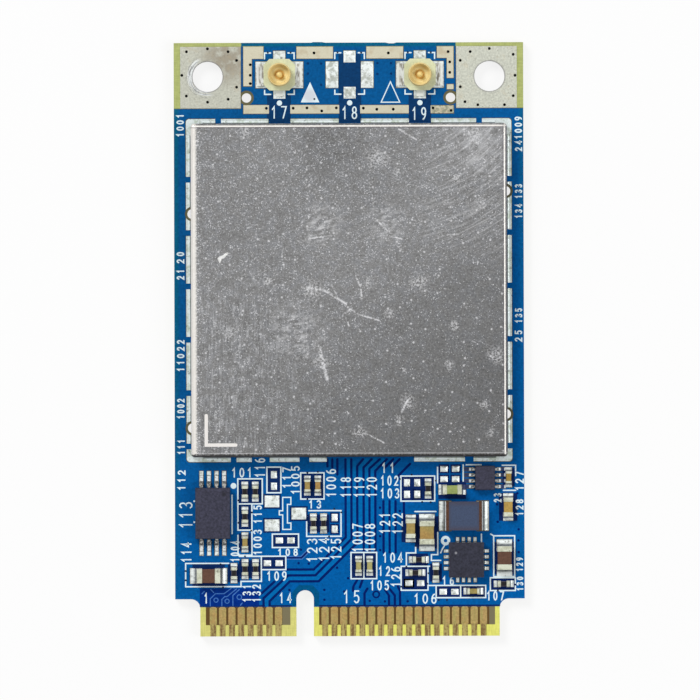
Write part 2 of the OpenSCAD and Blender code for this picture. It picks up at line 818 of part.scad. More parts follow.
// Leads in two rows, the rows along X
module lead_rows(count, pitch, width, span, body, h) {
    for (turn = [0, 180], i = [0 : count - 1])
        rotate(turn)
            translate([(i - (count - 1) / 2) * pitch, body / 2, seat_z])
                rotate(90)
                    bent_lead((span - body) / 2, standoff + h / 2 - lead_t / 2, width);
}

module lead_lands(count, pitch, width, span, body) {
    for (turn = [0, 180], i = [0 : count - 1])
        rotate(turn)
            translate([(i - (count - 1) / 2) * pitch, span / 2, 0])
                rotate(90)
                    soldered_land((span - body) / 2 - 0.15, lead_toe, width + 2 * land_side, lead_t);
}

// The pads of a leadless chip, flush with its sides
module pad_rows(side, count) {
    for (turn = [0 : 90 : 270], i = [0 : count - 1])
        rotate(turn)
            translate([side / 2 - pad_l, (i - (count - 1) / 2) * pad_pitch - pad_w / 2, seat_z])
                cube([pad_l, pad_w, pad_t]);
    inner = side - 1.4 - (count > 8 ? 1 : 0);
    translate([-inner / 2, -inner / 2, seat_z])
        cube([inner, inner, pad_t]);
}

module pad_lands(side, count) {
    for (turn = [0 : 90 : 270], i = [0 : count - 1])
        rotate(turn)
            translate([side / 2, (i - (count - 1) / 2) * pad_pitch, 0])
                soldered_land(pad_l, pad_toe, pad_w, pad_t);
    inner = side - 1.4 - (count > 8 ? 1 : 0);
    on_top()
        square(inner, center = true);
}

// A leadless chip's body, with pockets for its pads and a mark at pin one
module leadless_body(side, count, h) {
    difference() {
        translate([-side / 2, -side / 2, seat_z + 0.02])
            cube([side, side, h]);
        pad_rows(side, count);
        translate([-side / 2 + side * 0.17, side / 2 - side * 0.17, seat_z + h])
            cylinder(d = side * 0.08, h = 1);
    }
}

// Card

module circuit_board() {
    color("darkkhaki")
        translate([0, 0, laminate_z])
            linear_extrude(laminate_t)
                difference() {
                    card_outline();
                    drillings();
                    at_mounting_holes()
                        circle(d = hole_d + 2 * barrel_t);
                }
}

module solder_mask_top() {
    color([0, 0.35, 0.62])
        on_top(mask_t)
            difference() {
                card_outline();
                drillings();
                corner_windows();
                ground_shapes(mask_gap);
                at_tooling_holes()
                    circle(d = tooling_ring_d);
                at_peg_holes()
                    circle(d = peg_hole_d + 0.4);
                frame_shapes(mask_gap);
                for (x = concat(aerial_xs, [spare_aerial_x]))
                    translate([x, aerial_y])
                        aerial_land_shapes(mask_gap);
                open_lands();
                open_inner_lands();
                contact_window();
            }
}

// The bare corners round the mounting lands, open to the card's edges
module corner_windows() {
    for (side = [-1, 1])
        field([side * (hole_x - land_inner - mask_gap), hole_y - land_down - mask_gap],
              [side * (card_w / 2 + 1), top_y + 1]);
}

module contact_window() {
    field([-card_w, bottom_y - 1], [card_w, mask_end_y]);
}

module solder_mask_bottom() {
    color([0, 0.33, 0.6])
        translate([0, 0, laminate_z - mask_t])
            linear_extrude(mask_t)
                difference() {
                    card_outline();
                    drillings();
                    corner_windows();
                    at_tooling_holes()
                        circle(d = tooling_ring_d);
                    at_peg_holes()
                        circle(d = peg_hole_d + 0.4);
                    contact_window();
                }
}

// Land, plated hole wall and underside land, one piece of copper
module mounting_land(side) {
    difference() {
        union() {
            for (z = [0, top_z])
                translate([0, 0, z])
                    linear_extrude(copper_t)
                        difference() {
                            mounting_field(side);
                            vias();
                        }
            translate([side * hole_x, hole_y, 0])
                cylinder(d = hole_d + 2 * barrel_t, h = seat_z);
        }
        translate([side * hole_x, hole_y, -1])
            cylinder(d = hole_d, h = seat_z + 2);
    }
}

module mounting_land_left() {
    color("silver")
        mounting_land(-1);
}

module mounting_land_right() {
    color("silver")
        mounting_land(1);
}

module ground_strips() {
    color("tan")
        on_top()
            difference() {
                ground_shapes();
                vias();
                at_tooling_holes()
                    circle(d = tooling_ring_d + 0.02);
            }
}

module edge_contacts_top() {
    color("darkgoldenrod")
        on_top()
            for (x = contact_xs(0))
                contact_shape(x);
}

module edge_contacts_bottom() {
    color("darkgoldenrod")
        linear_extrude(copper_t)
            for (x = contact_xs(contact_stagger))
                contact_shape(x);
}

// Shield

// One drawn can of thin sheet, with pegs that drop into holes in the card
module shield_can() {
    color([0.62, 0.61, 0.6])
        translate([0, shield_y, seat_z]) {
            difference() {
                rounded_cover(shield_w, shield_l, shield_h, shield_corner_r, shield_bend_r);
                translate([0, 0, -eps])
                    rounded_cover(shield_w - 2 * shield_t, shield_l - 2 * shield_t,
                                  shield_h - shield_t + eps, shield_corner_r - shield_t,
                                  shield_bend_r - shield_t);
                for (x = mouse_xs)
                    translate([x - mouse_w / 2, shield_l / 2 - 1, -1])
                        cube([mouse_w, 2, mouse_h + 1]);
                translate([bus_from, -shield_l / 2 - 1, -1])
                    cube([bus_to - bus_from, 2, bus_h + 1]);
            }
            for (peg = pegs)
                translate([peg[0] * (shield_w / 2 - shield_t / 2) - shield_t / 2,
                           shield_l / 2 - peg[1] - peg_w / 2, -peg_l])
                    cube([shield_t, peg_w, peg_l + 0.3]);
        }
}

module shield_lands() {
    color("gainsboro") {
        on_top()
            frame_shapes();
        difference() {
            frame_fillets();
            translate([0, 0, seat_z - eps])
                linear_extrude(1)
                    frame_fillet_breaks();
        }
    }
}

module frame_fillet_breaks() {
    frame_breaks();
    at_peg_holes()
        circle(d = peg_hole_d + 0.4);
}

module frame_fillets() {
    run_w = shield_w - 2 * shield_corner_r;
    run_l = shield_l - 2 * shield_corner_r;
    translate([0, shield_y, seat_z]) {
        for (turn = [0, 180])
            rotate(turn) {
                translate([shield_w / 2, run_l / 2, 0])
                    rotate([90, 0, 0])
                        linear_extrude(run_l)
                            fillet_profile(frame_fillet);
                translate([-run_w / 2, shield_l / 2, 0])
                    rotate([90, 0, 90])
                        linear_extrude(run_w)
                            fillet_profile(frame_fillet);
            }
    }
}

// Lands

module component_lands() {
    color("whitesmoke") {
        at_places(resistor_places)
            chip_lands(small_resistor);
        at_places(small_capacitor_places)
            chip_lands(small_capacitor);
        at_places(medium_capacitor_places)
            chip_lands(medium_capacitor);
        at_places([input_capacitor_place, output_capacitor_place, filter_capacitor_place])
            chip_lands(large_capacitor);
        at_places([memory_place])
            lead_lands(4, memory_pitch, memory_lead_w, memory_span, memory_l);
        at_places([switch_place])
            rotate(90)
                lead_lands(4, switch_pitch, switch_lead_w, switch_span, switch_w);
        at_places([regulator_place])
            pad_lands(regulator_side, 4);
        at_places([inductor_place])
            for (turn = [0, 180])
                rotate(turn)
                    translate([inductor_l / 2, 0, 0])
                        soldered_land(0.5, inductor_toe, inductor_w, 0.46);
    }
}

module spare_lands() {
    color("whitesmoke") {
        at_places(spare_places)
            for (side = [-1, 1])
                translate([side * 0.5, 0, 0])
                    crowned_land([0.62, 0.5]);
        at_places(spare_transistor_lands)
            crowned_land(spare_transistor_size);
    }
}

module aerial_lands() {
    color("whitesmoke") {
        for (x = aerial_xs)
            translate([x, aerial_y])
                on_top()
                    aerial_land_shapes();
        translate([spare_aerial_x, aerial_y]) {
            for (side = [-1, 1]) {
                translate([side * (ground_land_in + ground_land_out) / 2, 0, 0])
                    crowned_land([ground_land_out - ground_land_in, ground_land_l]);
                translate([0, side * (signal_land_in + signal_land_out) / 2, 0])
                    crowned_land([signal_land_w, signal_land_out - signal_land_in]);
            }
        }
    }
}

// Aerial connectors

// Square insulator, moulded round the outer contact's straps and the centre pin
module aerial_insulator(x) {
    half = insulator_side / 2;
    translate([x, aerial_y, seat_z])
        difference() {
            translate([0, 0, tab_t])
                linear_extrude(insulator_h - tab_t)
                    polygon([
                        [-half + insulator_cut, -half], [half - insulator_cut, -half],
                        [half, -half + insulator_cut], [half, half - insulator_cut],
                        [half - insulator_cut, half], [-half + insulator_cut, half],
                        [-half, half - insulator_cut], [-half, -half + insulator_cut]
                    ]);
            collar_turning();
            translate([0, 0, bowl_h - tab_t])
                cylinder(d = collar_d - collar_t, h = 1);
            translate([0, 0, -1])
                cylinder(d = pin_d, h = 3);
            ground_straps();
        }
}

// Straps from the foot of the outer contact, out through the insulator and down its sides
module ground_straps() {
    inner = collar_d / 2;
    half = insulator_side / 2;
    bend = tab_t / 3;
    for (turn = [0, 180])
        rotate(turn)
            translate([0, strap_w / 2, 0])
                rotate([90, 0, 0])
                    linear_extrude(strap_w)
                        polygon([
                            [inner, bowl_h - tab_t], [inner, bowl_h], [half + tab_t - bend, bowl_h],
                            [half + tab_t, bowl_h - bend], [half + tab_t, 0], [half, 0],
                            [half, bowl_h - tab_t]
                        ]);
}

// Turned collar: moulded-in flange, snap groove, thin rim and a dished floor with a hole for the pin
module collar_turning() {
    r = collar_d / 2;
    wall_r = r - collar_t;
    floor_z = bowl_h - tab_t;
    groove_z = insulator_h + groove_lift;
    rim_z = collar_h - 0.1;
    groove = [
        for (a = [0 : 30 : 180])
            [r - groove_depth * sin(a), groove_z + groove_h * (1 - cos(a)) / 2]
    ];
    rotate_extrude()
        polygon(concat(
            [[pin_gap_d / 2, floor_z], [r + flange_reach, floor_z], [r + flange_reach, bowl_h],
             [r + 0.02, bowl_h]],
            groove,
            [[r, rim_z], [r - 0.06, collar_h], [wall_r + 0.02, collar_h], [wall_r, rim_z],
             [wall_r, bowl_h + 0.25], [wall_r - 0.2, bowl_h + 0.04],
             [pin_gap_d / 2 + 0.1, bowl_h], [pin_gap_d / 2, bowl_h - 0.05]]
        ));
}

// Outer contact, one piece: turned collar, straps and ground feet
module aerial_collar(x) {
    translate([x, aerial_y, seat_z]) {
        collar_turning();
        ground_straps();
        for (turn = [0, 180])
            rotate(turn)
                translate([insulator_side / 2, -foot_w / 2, 0])
                    cube([foot_l, foot_w, tab_t]);
    }
}

// Centre pin with a domed tip, and the signal foot that runs out below the insulator
module aerial_pin(x) {
    r = pin_d / 2;
    translate([x, aerial_y, seat_z]) {
        cylinder(r = r, h = pin_h - r);
        translate([0, 0, pin_h - r])
            sphere(r = r);
        translate([-pin_foot_w / 2, -pin_foot_l, 0])
            cube([pin_foot_w, pin_foot_l, tab_t]);
    }
}

module aerial_1_insulator() {
    color("beige")
        aerial_insulator(aerial_xs[0]);
}

module aerial_1_collar() {
    color("goldenrod")
        aerial_collar(aerial_xs[0]);
}

module aerial_1_pin() {
    color("gold")
        aerial_pin(aerial_xs[0]);
}

module aerial_2_insulator() {
    color("beige")
        aerial_insulator(aerial_xs[1]);
}

module aerial_2_collar() {
    color("goldenrod")
        aerial_collar(aerial_xs[1]);
}

module aerial_2_pin() {
    color("gold")
        aerial_pin(aerial_xs[1]);
}

// Leaded chips

module memory_chip_body() {
    color([0.2, 0.18, 0.22])
        at_places([memory_place])
            difference() {
                translate([0, 0, seat_z + standoff])
                    moulded_body(memory_w, memory_l, memory_h);
                translate([memory_w / 2 - 0.45, memory_l / 2 - 0.45, seat_z + standoff + memory_h - 0.05])
                    cylinder(d = 0.4, h = 1);
            }
}

module memory_chip_leads() {
    color("silver")
        at_places([memory_place])
            lead_rows(4, memory_pitch, memory_lead_w, memory_span, memory_l, memory_h);
}

module switch_chip_body() {
    color([0.2, 0.18, 0.22])
        at_places([switch_place])
            translate([0, 0, seat_z + standoff])
                moulded_body(switch_w, switch_l, switch_h);
}

module switch_chip_leads() {
    color("silver")
        at_places([switch_place])
            rotate(90)
                lead_rows(4, switch_pitch, switch_lead_w, switch_span, switch_w, switch_h);
}

// Regulator and its power inductor

module regulator_body() {
    color([0.2, 0.18, 0.22])
        at_places([regulator_place])
            leadless_body(regulator_side, 4, regulator_h);
}

module regulator_pads() {
    color("silver")
        at_places([regulator_place])
            pad_rows(regulator_side, 4);
}

post_w = 1.1;
post_h = 0.6;
coil_t = 0.3;
terminal_t = 0.06;
terminal_h = 0.4;

// A drum of ferrite: two end flanges on a square post
module inductor_core() {
    color("saddlebrown")
        at_places([inductor_place])
            translate([0, 0, seat_z + terminal_t]) {
                for (side = [-1, 1])
                    translate([side * (inductor_l / 2 - terminal_t - flange_t / 2) - flange_t / 2,
                               -inductor_w / 2, 0])
                        cube([flange_t, inductor_w, inductor_h - terminal_t]);
                translate([terminal_t - inductor_l / 2, -post_w / 2, post_lift()])
                    cube([inductor_l - 2 * terminal_t, post_w, post_h]);
            }
}

function post_lift() = (inductor_h - terminal_t - post_h) / 2;
function winding_l() = inductor_l - 2 * terminal_t - 2 * flange_t;

// The copper winding round the post, as one closed ring
module inductor_coil() {
    color("peru")
        at_places([inductor_place])
            translate([0, 0, seat_z + terminal_t + post_lift()])
                coil_ring(winding_l());
}

module coil_ring(l) {
    difference() {
        translate([-l / 2, -post_w / 2 - coil_t, -coil_t])
            cube([l, post_w + 2 * coil_t, post_h + 2 * coil_t]);
        translate([-l, -post_w / 2, 0])
            cube([2 * l, post_w, post_h]);
    }
}

// The cast cover that closes the winding between the flanges
module inductor_cover() {
    color("slategray")
        at_places([inductor_place])
            translate([0, 0, seat_z + terminal_t])
                difference() {
                    translate([-winding_l() / 2, -inductor_w / 2 + 0.02, 0.06])
                        cube([winding_l(), inductor_w - 0.04, inductor_h - terminal_t - 0.08]);
                    translate([-winding_l(), -post_w / 2 - coil_t, post_lift() - coil_t])
                        cube([2 * winding_l(), post_w + 2 * coil_t, post_h + 2 * coil_t]);
                }
}

// Folded end plates under and beside the flanges
module inductor_terminals() {
    color("silver")
        at_places([inductor_place])
            for (turn = [0, 180])
                rotate(turn)
                    translate([0, 0, seat_z]) {
                        translate([inductor_l / 2 - terminal_t, -inductor_w / 2, 0])
                            cube([terminal_t, inductor_w, terminal_h + 0.25]);
                        translate([inductor_l / 2 - 0.5, -inductor_w / 2, 0])
                            cube([0.5, inductor_w, terminal_t]);
                    }
}

// Chip parts

module input_capacitor_body() {
    color("sienna")
        at_places([input_capacitor_place])
            chip_body(large_capacitor);
}

module input_capacitor_ends() {
    color("lightgray")
        at_places([input_capacitor_place])
            chip_ends(large_capacitor);
}

module output_capacitor_body() {
    color("sienna")
        at_places([output_capacitor_place])
            chip_body(large_capacitor);
}

module output_capacitor_ends() {
    color("lightgray")
        at_places([output_capacitor_place])
            chip_ends(large_capacitor);
}

module filter_capacitor_body() {
    color("tan")
        at_places([filter_capacitor_place])
            chip_body(large_capacitor);
}

module filter_capacitor_ends() {
    color("lightgray")
        at_places([filter_capacitor_place])
            chip_ends(large_capacitor);
}

module medium_capacitor_bodies() {
    color("tan")
        at_places(medium_capacitor_places)
            chip_body(medium_capacitor);
}

module medium_capacitor_ends() {
    color("lightgray")
        at_places(medium_capacitor_places)
            chip_ends(medium_capacitor);
}

module small_capacitor_bodies() {
    color("tan")
        at_places(small_capacitor_places)
            chip_body(small_capacitor);
}

module small_capacitor_ends() {
    color("lightgray")
        at_places(small_capacitor_places)
            chip_ends(small_capacitor);
}

module small_resistor_bodies() {
    color([0.1, 0.1, 0.1])
        at_places(resistor_places)
            chip_body(small_resistor);
}

module small_resistor_ends() {
    color("lightgray")
        at_places(resistor_places)
            chip_ends(small_resistor);
}

// Parts under the shield

module radio_chip_body() {
    color([0.2, 0.18, 0.22])
        at_inner_places([radio_place])
            leadless_body(radio_side, 16, radio_h);
}

module radio_chip_pads() {
    color("silver")
        at_inner_places([radio_place])
            pad_rows(radio_side, 16);
}

module amplifier_bodies() {
    color([0.2, 0.18, 0.22])
        at_inner_places(amplifier_places)
            leadless_body(amplifier_side, 4, amplifier_h);
}

module amplifier_pads() {
    color("silver")
        at_inner_places(amplifier_places)
            pad_rows(amplifier_side, 4);
}

// The crystal's ceramic tray and its welded lid
module crystal_base() {
    color("dimgray")
        at_inner_places([crystal_place])
            translate([-crystal_l / 2, -crystal_w / 2, seat_z])
                difference() {
                    cube([crystal_l, crystal_w, crystal_h - 0.1]);
                    translate([0.35, 0.35, 0.25])
                        cube([crystal_l - 0.7, crystal_w - 0.7, crystal_h]);
                }
}

module crystal_lid() {
    color("silver")
        at_inner_places([crystal_place])
            translate([0, 0, seat_z + crystal_h - 0.1])
                linear_extrude(0.1)
                    rounded_field(crystal_l - 0.2, crystal_w - 0.2, 0.25);
}

module inner_capacitor_bodies() {
    color("tan")
        at_inner_places(inner_capacitor_places)
            chip_body(small_capacitor);
}

module inner_capacitor_ends() {
    color("lightgray")
        at_inner_places(inner_capacitor_places)
            chip_ends(small_capacitor);
}

module inner_filter_bodies() {
    color("lightsteelblue")
        at_inner_places(filter_places)
            chip_body(inner_filter);
}

module inner_filter_ends() {
    color("lightgray")
        at_inner_places(filter_places)
            chip_ends(inner_filter);
}

module inner_lands() {
    color("whitesmoke") {
        at_inner_places(inner_capacitor_places)
            chip_lands(small_capacitor);
        at_inner_places(filter_places)
            chip_lands(inner_filter);
        at_inner_places([radio_place])
            pad_lands(radio_side, 16);
        at_inner_places(amplifier_places)
            pad_lands(amplifier_side, 4);
        at_inner_places([crystal_place])
            on_top()
                crystal_land_shapes();
    }
}

circuit_board();
solder_mask_top();
solder_mask_bottom();
mounting_land_left();
mounting_land_right();
ground_strips();
edge_contacts_top();
edge_contacts_bottom();
shield_can();
shield_lands();
component_lands();
spare_lands();
aerial_lands();
aerial_1_insulator();
aerial_1_collar();
aerial_1_pin();
aerial_2_insulator();
aerial_2_collar();
aerial_2_pin();
memory_chip_body();
memory_chip_leads();
switch_chip_body();
switch_chip_leads();
regulator_body();
regulator_pads();
inductor_core();
inductor_coil();
inductor_cover();
inductor_terminals();
input_capacitor_body();
input_capacitor_ends();
output_capacitor_body();
output_capacitor_ends();
filter_capacitor_body();
filter_capacitor_ends();
medium_capacitor_bodies();
medium_capacitor_ends();
small_capacitor_bodies();
small_capacitor_ends();
small_resistor_bodies();
small_resistor_ends();
radio_chip_body();
radio_chip_pads();
amplifier_bodies();
amplifier_pads();
crystal_base();
crystal_lid();
inner_capacitor_bodies();
inner_capacitor_ends();
inner_filter_bodies();
inner_filter_ends();
inner_lands();
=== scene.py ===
"""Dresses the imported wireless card: mask, tracks, printed marks, metals and small parts."""

import math
from functools import reduce

import bmesh
import bpy
import numpy as np
from bpy.props import FloatProperty, FloatVectorProperty, PointerProperty
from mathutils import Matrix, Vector


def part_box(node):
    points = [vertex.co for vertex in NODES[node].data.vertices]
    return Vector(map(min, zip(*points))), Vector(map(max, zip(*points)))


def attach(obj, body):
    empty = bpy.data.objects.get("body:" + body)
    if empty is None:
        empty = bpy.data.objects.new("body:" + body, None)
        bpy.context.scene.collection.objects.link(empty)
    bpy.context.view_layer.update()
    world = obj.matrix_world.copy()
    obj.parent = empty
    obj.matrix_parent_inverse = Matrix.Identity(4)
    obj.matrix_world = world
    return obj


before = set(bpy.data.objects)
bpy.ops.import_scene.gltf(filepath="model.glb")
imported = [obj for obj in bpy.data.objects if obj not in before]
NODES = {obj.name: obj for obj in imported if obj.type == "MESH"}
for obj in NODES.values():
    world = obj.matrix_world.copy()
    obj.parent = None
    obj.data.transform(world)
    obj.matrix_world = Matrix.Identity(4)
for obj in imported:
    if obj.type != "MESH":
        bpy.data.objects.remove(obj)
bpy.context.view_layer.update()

bl_info = {
    "name": "Wireless card finish",
    "version": (1, 0, 0),
    "blender": (4, 5, 0),
    "location": "3D View > Sidebar > Card",
    "description": "Finishes, tracks and printed marks for a mini card wireless module",
    "category": "Object",
}

# Millimetres to Blender's metres. Places and sizes below are in millimetres, and a rectangle is
# its lowest x, highest x, lowest y and highest y.
MM = 0.001


def box_of(name):
    """The lowest and highest corner of a node, in millimetres."""
    low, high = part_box(name)
    return low / MM, high / MM


def middle_of(name):
    """The middle of a node, in millimetres."""
    low, high = box_of(name)
    return (low + high) / 2


def srgb(red, green, blue):
    """A colour as a picture gives it, from 0 to 255, in the light amounts that a shader takes."""
    def amount(value):
        share = value / 255
        if share <= 0.04045:
            return share / 12.92
        return ((share + 0.055) / 1.055) ** 2.4
    return (amount(red), amount(green), amount(blue))


def arc(x, y, wide, high, start, end, count):
    """Points along part of an ellipse, angles in degrees."""
    angles = [math.radians(start + (end - start) * i / (count - 1)) for i in range(count)]
    return [(x + wide * math.cos(a), y + high * math.sin(a)) for a in angles]


def circle(x, y, radius, count):
    """Corners round a circle, anticlockwise."""
    return arc(x, y, radius, radius, 0, 360 - 360 / count, count)


def rectangle(low_x, high_x, low_y, high_y):
    """Corners of a rectangle, anticlockwise."""
    return [(low_x, low_y), (high_x, low_y), (high_x, high_y), (low_x, high_y)]


def half_circle(tip, before, radius, count=4):
    """The points between the corners of a round line end."""
    heading = math.atan2(tip[1] - before[1], tip[0] - before[0])
    angles = [heading - math.pi / 2 + math.pi * (i + 1) / (count + 1) for i in range(count)]
    return [(tip[0] + radius * math.cos(a), tip[1] + radius * math.sin(a)) for a in angles]


# The card, its mask and its can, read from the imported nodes.
BOARD_HIGH = box_of("circuit_board")[1]
MASK_TOP = box_of("solder_mask_top")[1].z
CAN_LOW, CAN_HIGH = box_of("shield_can")
# The right screw hole, as its distance from the card's centre line and its height.
HOLE_PLACE = (12.1, 22.575)
AERIAL_COLLARS = ("aerial_1_collar", "aerial_2_collar")
SMALL_PARTS = [
    "small_resistor_bodies", "small_capacitor_bodies", "medium_capacitor_bodies",
    "filter_capacitor_body", "input_capacitor_body", "output_capacitor_body",
]

# Films on the mask: the height of their feet, and of each kind's top.
FILM_FOOT = MASK_TOP - 0.008
BOXED_TOP = MASK_TOP + 0.0012
NAVY_TOP = MASK_TOP + 0.003
KEY_TOP = MASK_TOP + 0.0036
ZONE_TOP = MASK_TOP + 0.0038
TRACK_TOP = MASK_TOP + 0.0042
DOT_TOP = MASK_TOP + 0.0052
GAP_TOP = MASK_TOP + 0.0054
FINE_TOP = MASK_TOP + 0.006
# What keeps the tops of neighbours apart where they may cross.
FILM_STEP = 0.0002
# The size below which a part counts as small, and how far the mask's dark zones reach beyond a
# small part, a larger part and a bare land.
SMALL_PART = 1.3
SMALL_REACH, LARGE_REACH, LAND_REACH = 0.3, 0.42, 0.14
# Width of the finest tracks, and the radii of the dots on the pour, in the holes and on the print.
FINE_WIDTH = 0.08
POUR_DOT, VIA_FILL, PRINT_DOT = 0.11, 0.122, 0.085
# The print's foot, how proud of it the dark dots stand, and its thinner outline and triangle.
PRINT_FOOT = MASK_TOP - 0.005
PRINT_DOT_LIFT = 0.01
THIN_OUTLINE, THIN_TRIANGLE = 0.85, 0.8
# Where the fills of the holes end in the board, the least and largest width of a hole that is
# filled, and the least height of its wall.
VIA_LOW, VIA_HIGH = 0.3, 0.7
VIA_WIDTHS = (0.2, 0.3)
VIA_WALL = 0.5

# The can's bend, and its folded corners: their radius, their reach along the walls, how proud of
# the can they are and how far above the mask they start.
CAN_BEND = 0.36
CORNER_RADIUS = 0.3
CORNER_REACH = 1.1
CORNER_PROUD = 0.003
CORNER_LIFT = 0.03
# The can's painted mark as a line and its width, and the outline of a fleck of solder.
CAN_MARK = [(-12.27, -6.5), (-12.27, -9.03), (-9.74, -9.03)]
CAN_MARK_WIDTH = 0.29
FLECK = [
    (-11.2, 6.75), (-11.05, 6.55), (-10.92, 6.85), (-10.6, 7.1), (-10.3, 7.4), (-10.45, 7.5),
    (-10.8, 7.25), (-11.1, 7.15), (-11.28, 6.95),
]
# Their feet and their tops.
CAN_MARK_FOOT = CAN_HIGH.z - 0.01
CAN_MARK_TOP = CAN_HIGH.z + 0.006
FLECK_TOP = CAN_HIGH.z + 0.016

# The lamps: name, place, side and watts.
LAMPS = [("key_lamp", (-420, 500, 620), 340, 4.7), ("fill_lamp", (600, -120, 600), 400, 2.0)]
# Light that the world gives to matt surfaces, as a share of what the eye sees, and its grey.
WORLD_LEVEL = 0.55
WORLD_GREY = 0.8
# Half the floor's side.
FLOOR_REACH = 2000
# The point of the card in the middle of the picture, the camera's roll in degrees, the nearest
# and farthest that it sees, and the height of the card's face that its distance is measured from.
VIEW_CENTRE = (0.065, -0.915)
VIEW_ROLL = -0.17
VIEW_CLIP = (10, 10000)
VIEW_BASE = 1.0
SENSOR_WIDTH = 36

# Inner copper under the laminate by the contacts, which shows as painted shade, and where no contact
# covers it.
INNER_COPPER = [(-12.38, -5.12, -24.5, -22), (-2.66, 12.45, -24.5, -22)]
BARE_COPPER = [(-5.82, -5.12, -24.5, -22), (11.95, 12.45, -24.5, -22)]
TARNISHED_STRIP = (7.1, 9.4, 19.2, 20.3)
# Outer ends of the switch chip's lands, which the mask covers.
SWITCH_COVERS = [(9.7, 10.24, -12.95, -10.95), (12.98, 13.27, -12.95, -10.95)]
# Ceramic bodies of their own shade, and that shade.
TAN_PATCHES = [
    ((7.6, 10.0, -13.6, -12.2), (150, 162, 96)),
    ((0.2, 2.3, -20.4, -18.4), (168, 162, 104)),
    ((13.0, 14.2, -15.6, -13.2), (178, 146, 74)),
    ((13.0, 14.2, -13.0, -11.0), (158, 130, 60)),
]
# Dots at pin one: x, y, radius and shade, dark on the memory chip and pale on the regulator.
MEMORY_DOTS = [(-10.8, -13.27, 0.26, 30)]
REGULATOR_DOTS = [(9.1, -18.35, 0.14, 170)]
# Rubbed clouds on the can: the middle, the radii where it is full and gone, and its strength.
SHIELD_CLOUDS = [
    ((-4.4, 0.6), 0.5, 3.6, 1.0), ((3.2, 9.9), 0.2, 2.6, 1.0), ((-2.4, 9.8), 0.3, 2.6, 1.2),
]
# The middle of the arcs that handling has rubbed into the can's upper right.
ARC_CENTRE = (2.0, 27.0)
# Pale rubbed places on the can: x, y, radius.
SHIELD_RUBS = [
    (2.5, 15.5, 1.3), (4.1, 14.2, 0.6), (11.4, 11.6, 0.6), (6.0, 4.9, 1.1), (1.7, 4.9, 0.6),
    (-3.2, 4.2, 1.0), (-8.9, 17.9, 0.9), (3.55, 2.2, 0.5), (8.6, -2.2, 0.6), (5.0, -5.4, 0.8),
    (4.7, -2.7, 0.35), (7.1, -8.0, 0.35), (11.7, -5.5, 0.6), (12.1, -8.0, 0.6), (12.6, -1.4, 1.2),
    (9.0, 1.2, 0.6), (-7.1, 4.9, 0.5), (9.2, 13.9, 0.4), (10.9, 17.4, 1.0), (-10.3, 0.6, 0.6),
    (0.9, -8.0, 0.7), (4.2, -7.0, 0.5), (-2.4, -2.0, 0.9),
]
# Scratches on the can: start, end, width.
SHIELD_SCRATCHES = [
    ((0.5, 5.6), (1.0, 4.4), 0.1), ((1.0, 4.4), (1.1, 3.5), 0.14), ((-3.6, 4.4), (-2.3, 4.3), 0.22),
    ((-2.3, 4.3), (-0.2, 3.0), 0.14), ((-1.5, 4.7), (-1.1, 3.9), 0.09),
    ((-0.5, 2.1), (0.1, 2.6), 0.14), ((0.1, 2.6), (0.9, 2.1), 0.1), ((0.9, 2.1), (2.6, 1.6), 0.1),
    ((-0.3, 2.0), (0.0, 1.1), 0.1), ((-3.7, 8.6), (-1.5, 8.9), 0.09), ((3.3, 8.9), (4.5, 8.6), 0.1),
    ((2.3, 10.3), (3.4, 9.2), 0.09), ((7.6, 8.8), (9.4, 9.0), 0.09),
    ((4.3, 18.0), (5.8, 17.1), 0.1), ((5.2, -4.8), (4.5, -6.2), 0.14),
    ((-2.6, -0.6), (-1.9, -3.4), 0.22), ((1.3, -8.0), (3.0, -8.9), 0.09),
]
# Bare laminate under the mask, and the same along the mask's foot.
NAVY_PATCHES = [
    (-7.0, -4.95, 18.6, 21.0), (-0.85, 1.05, 21.0, 24.5), (-0.85, 1.1, 18.6, 21.0),
    (5.15, 7.1, 18.6, 21.0),
]
NAVY_FEET = [(-12.9, -5.0, -22.93, -22.8), (-2.7, 12.9, -22.93, -22.8)]
# The outline of the mask round the key slot, and the middle and radius of the slot's clear end.
KEY_PATCH = [
    (-2.65, -22.9), (-2.65, -21.7), (-3.2, -21.1), (-4.4, -21.1), (-4.95, -21.7), (-4.95, -22.9),
]
KEY_SLOT = (-3.85, -22.275, 0.77)
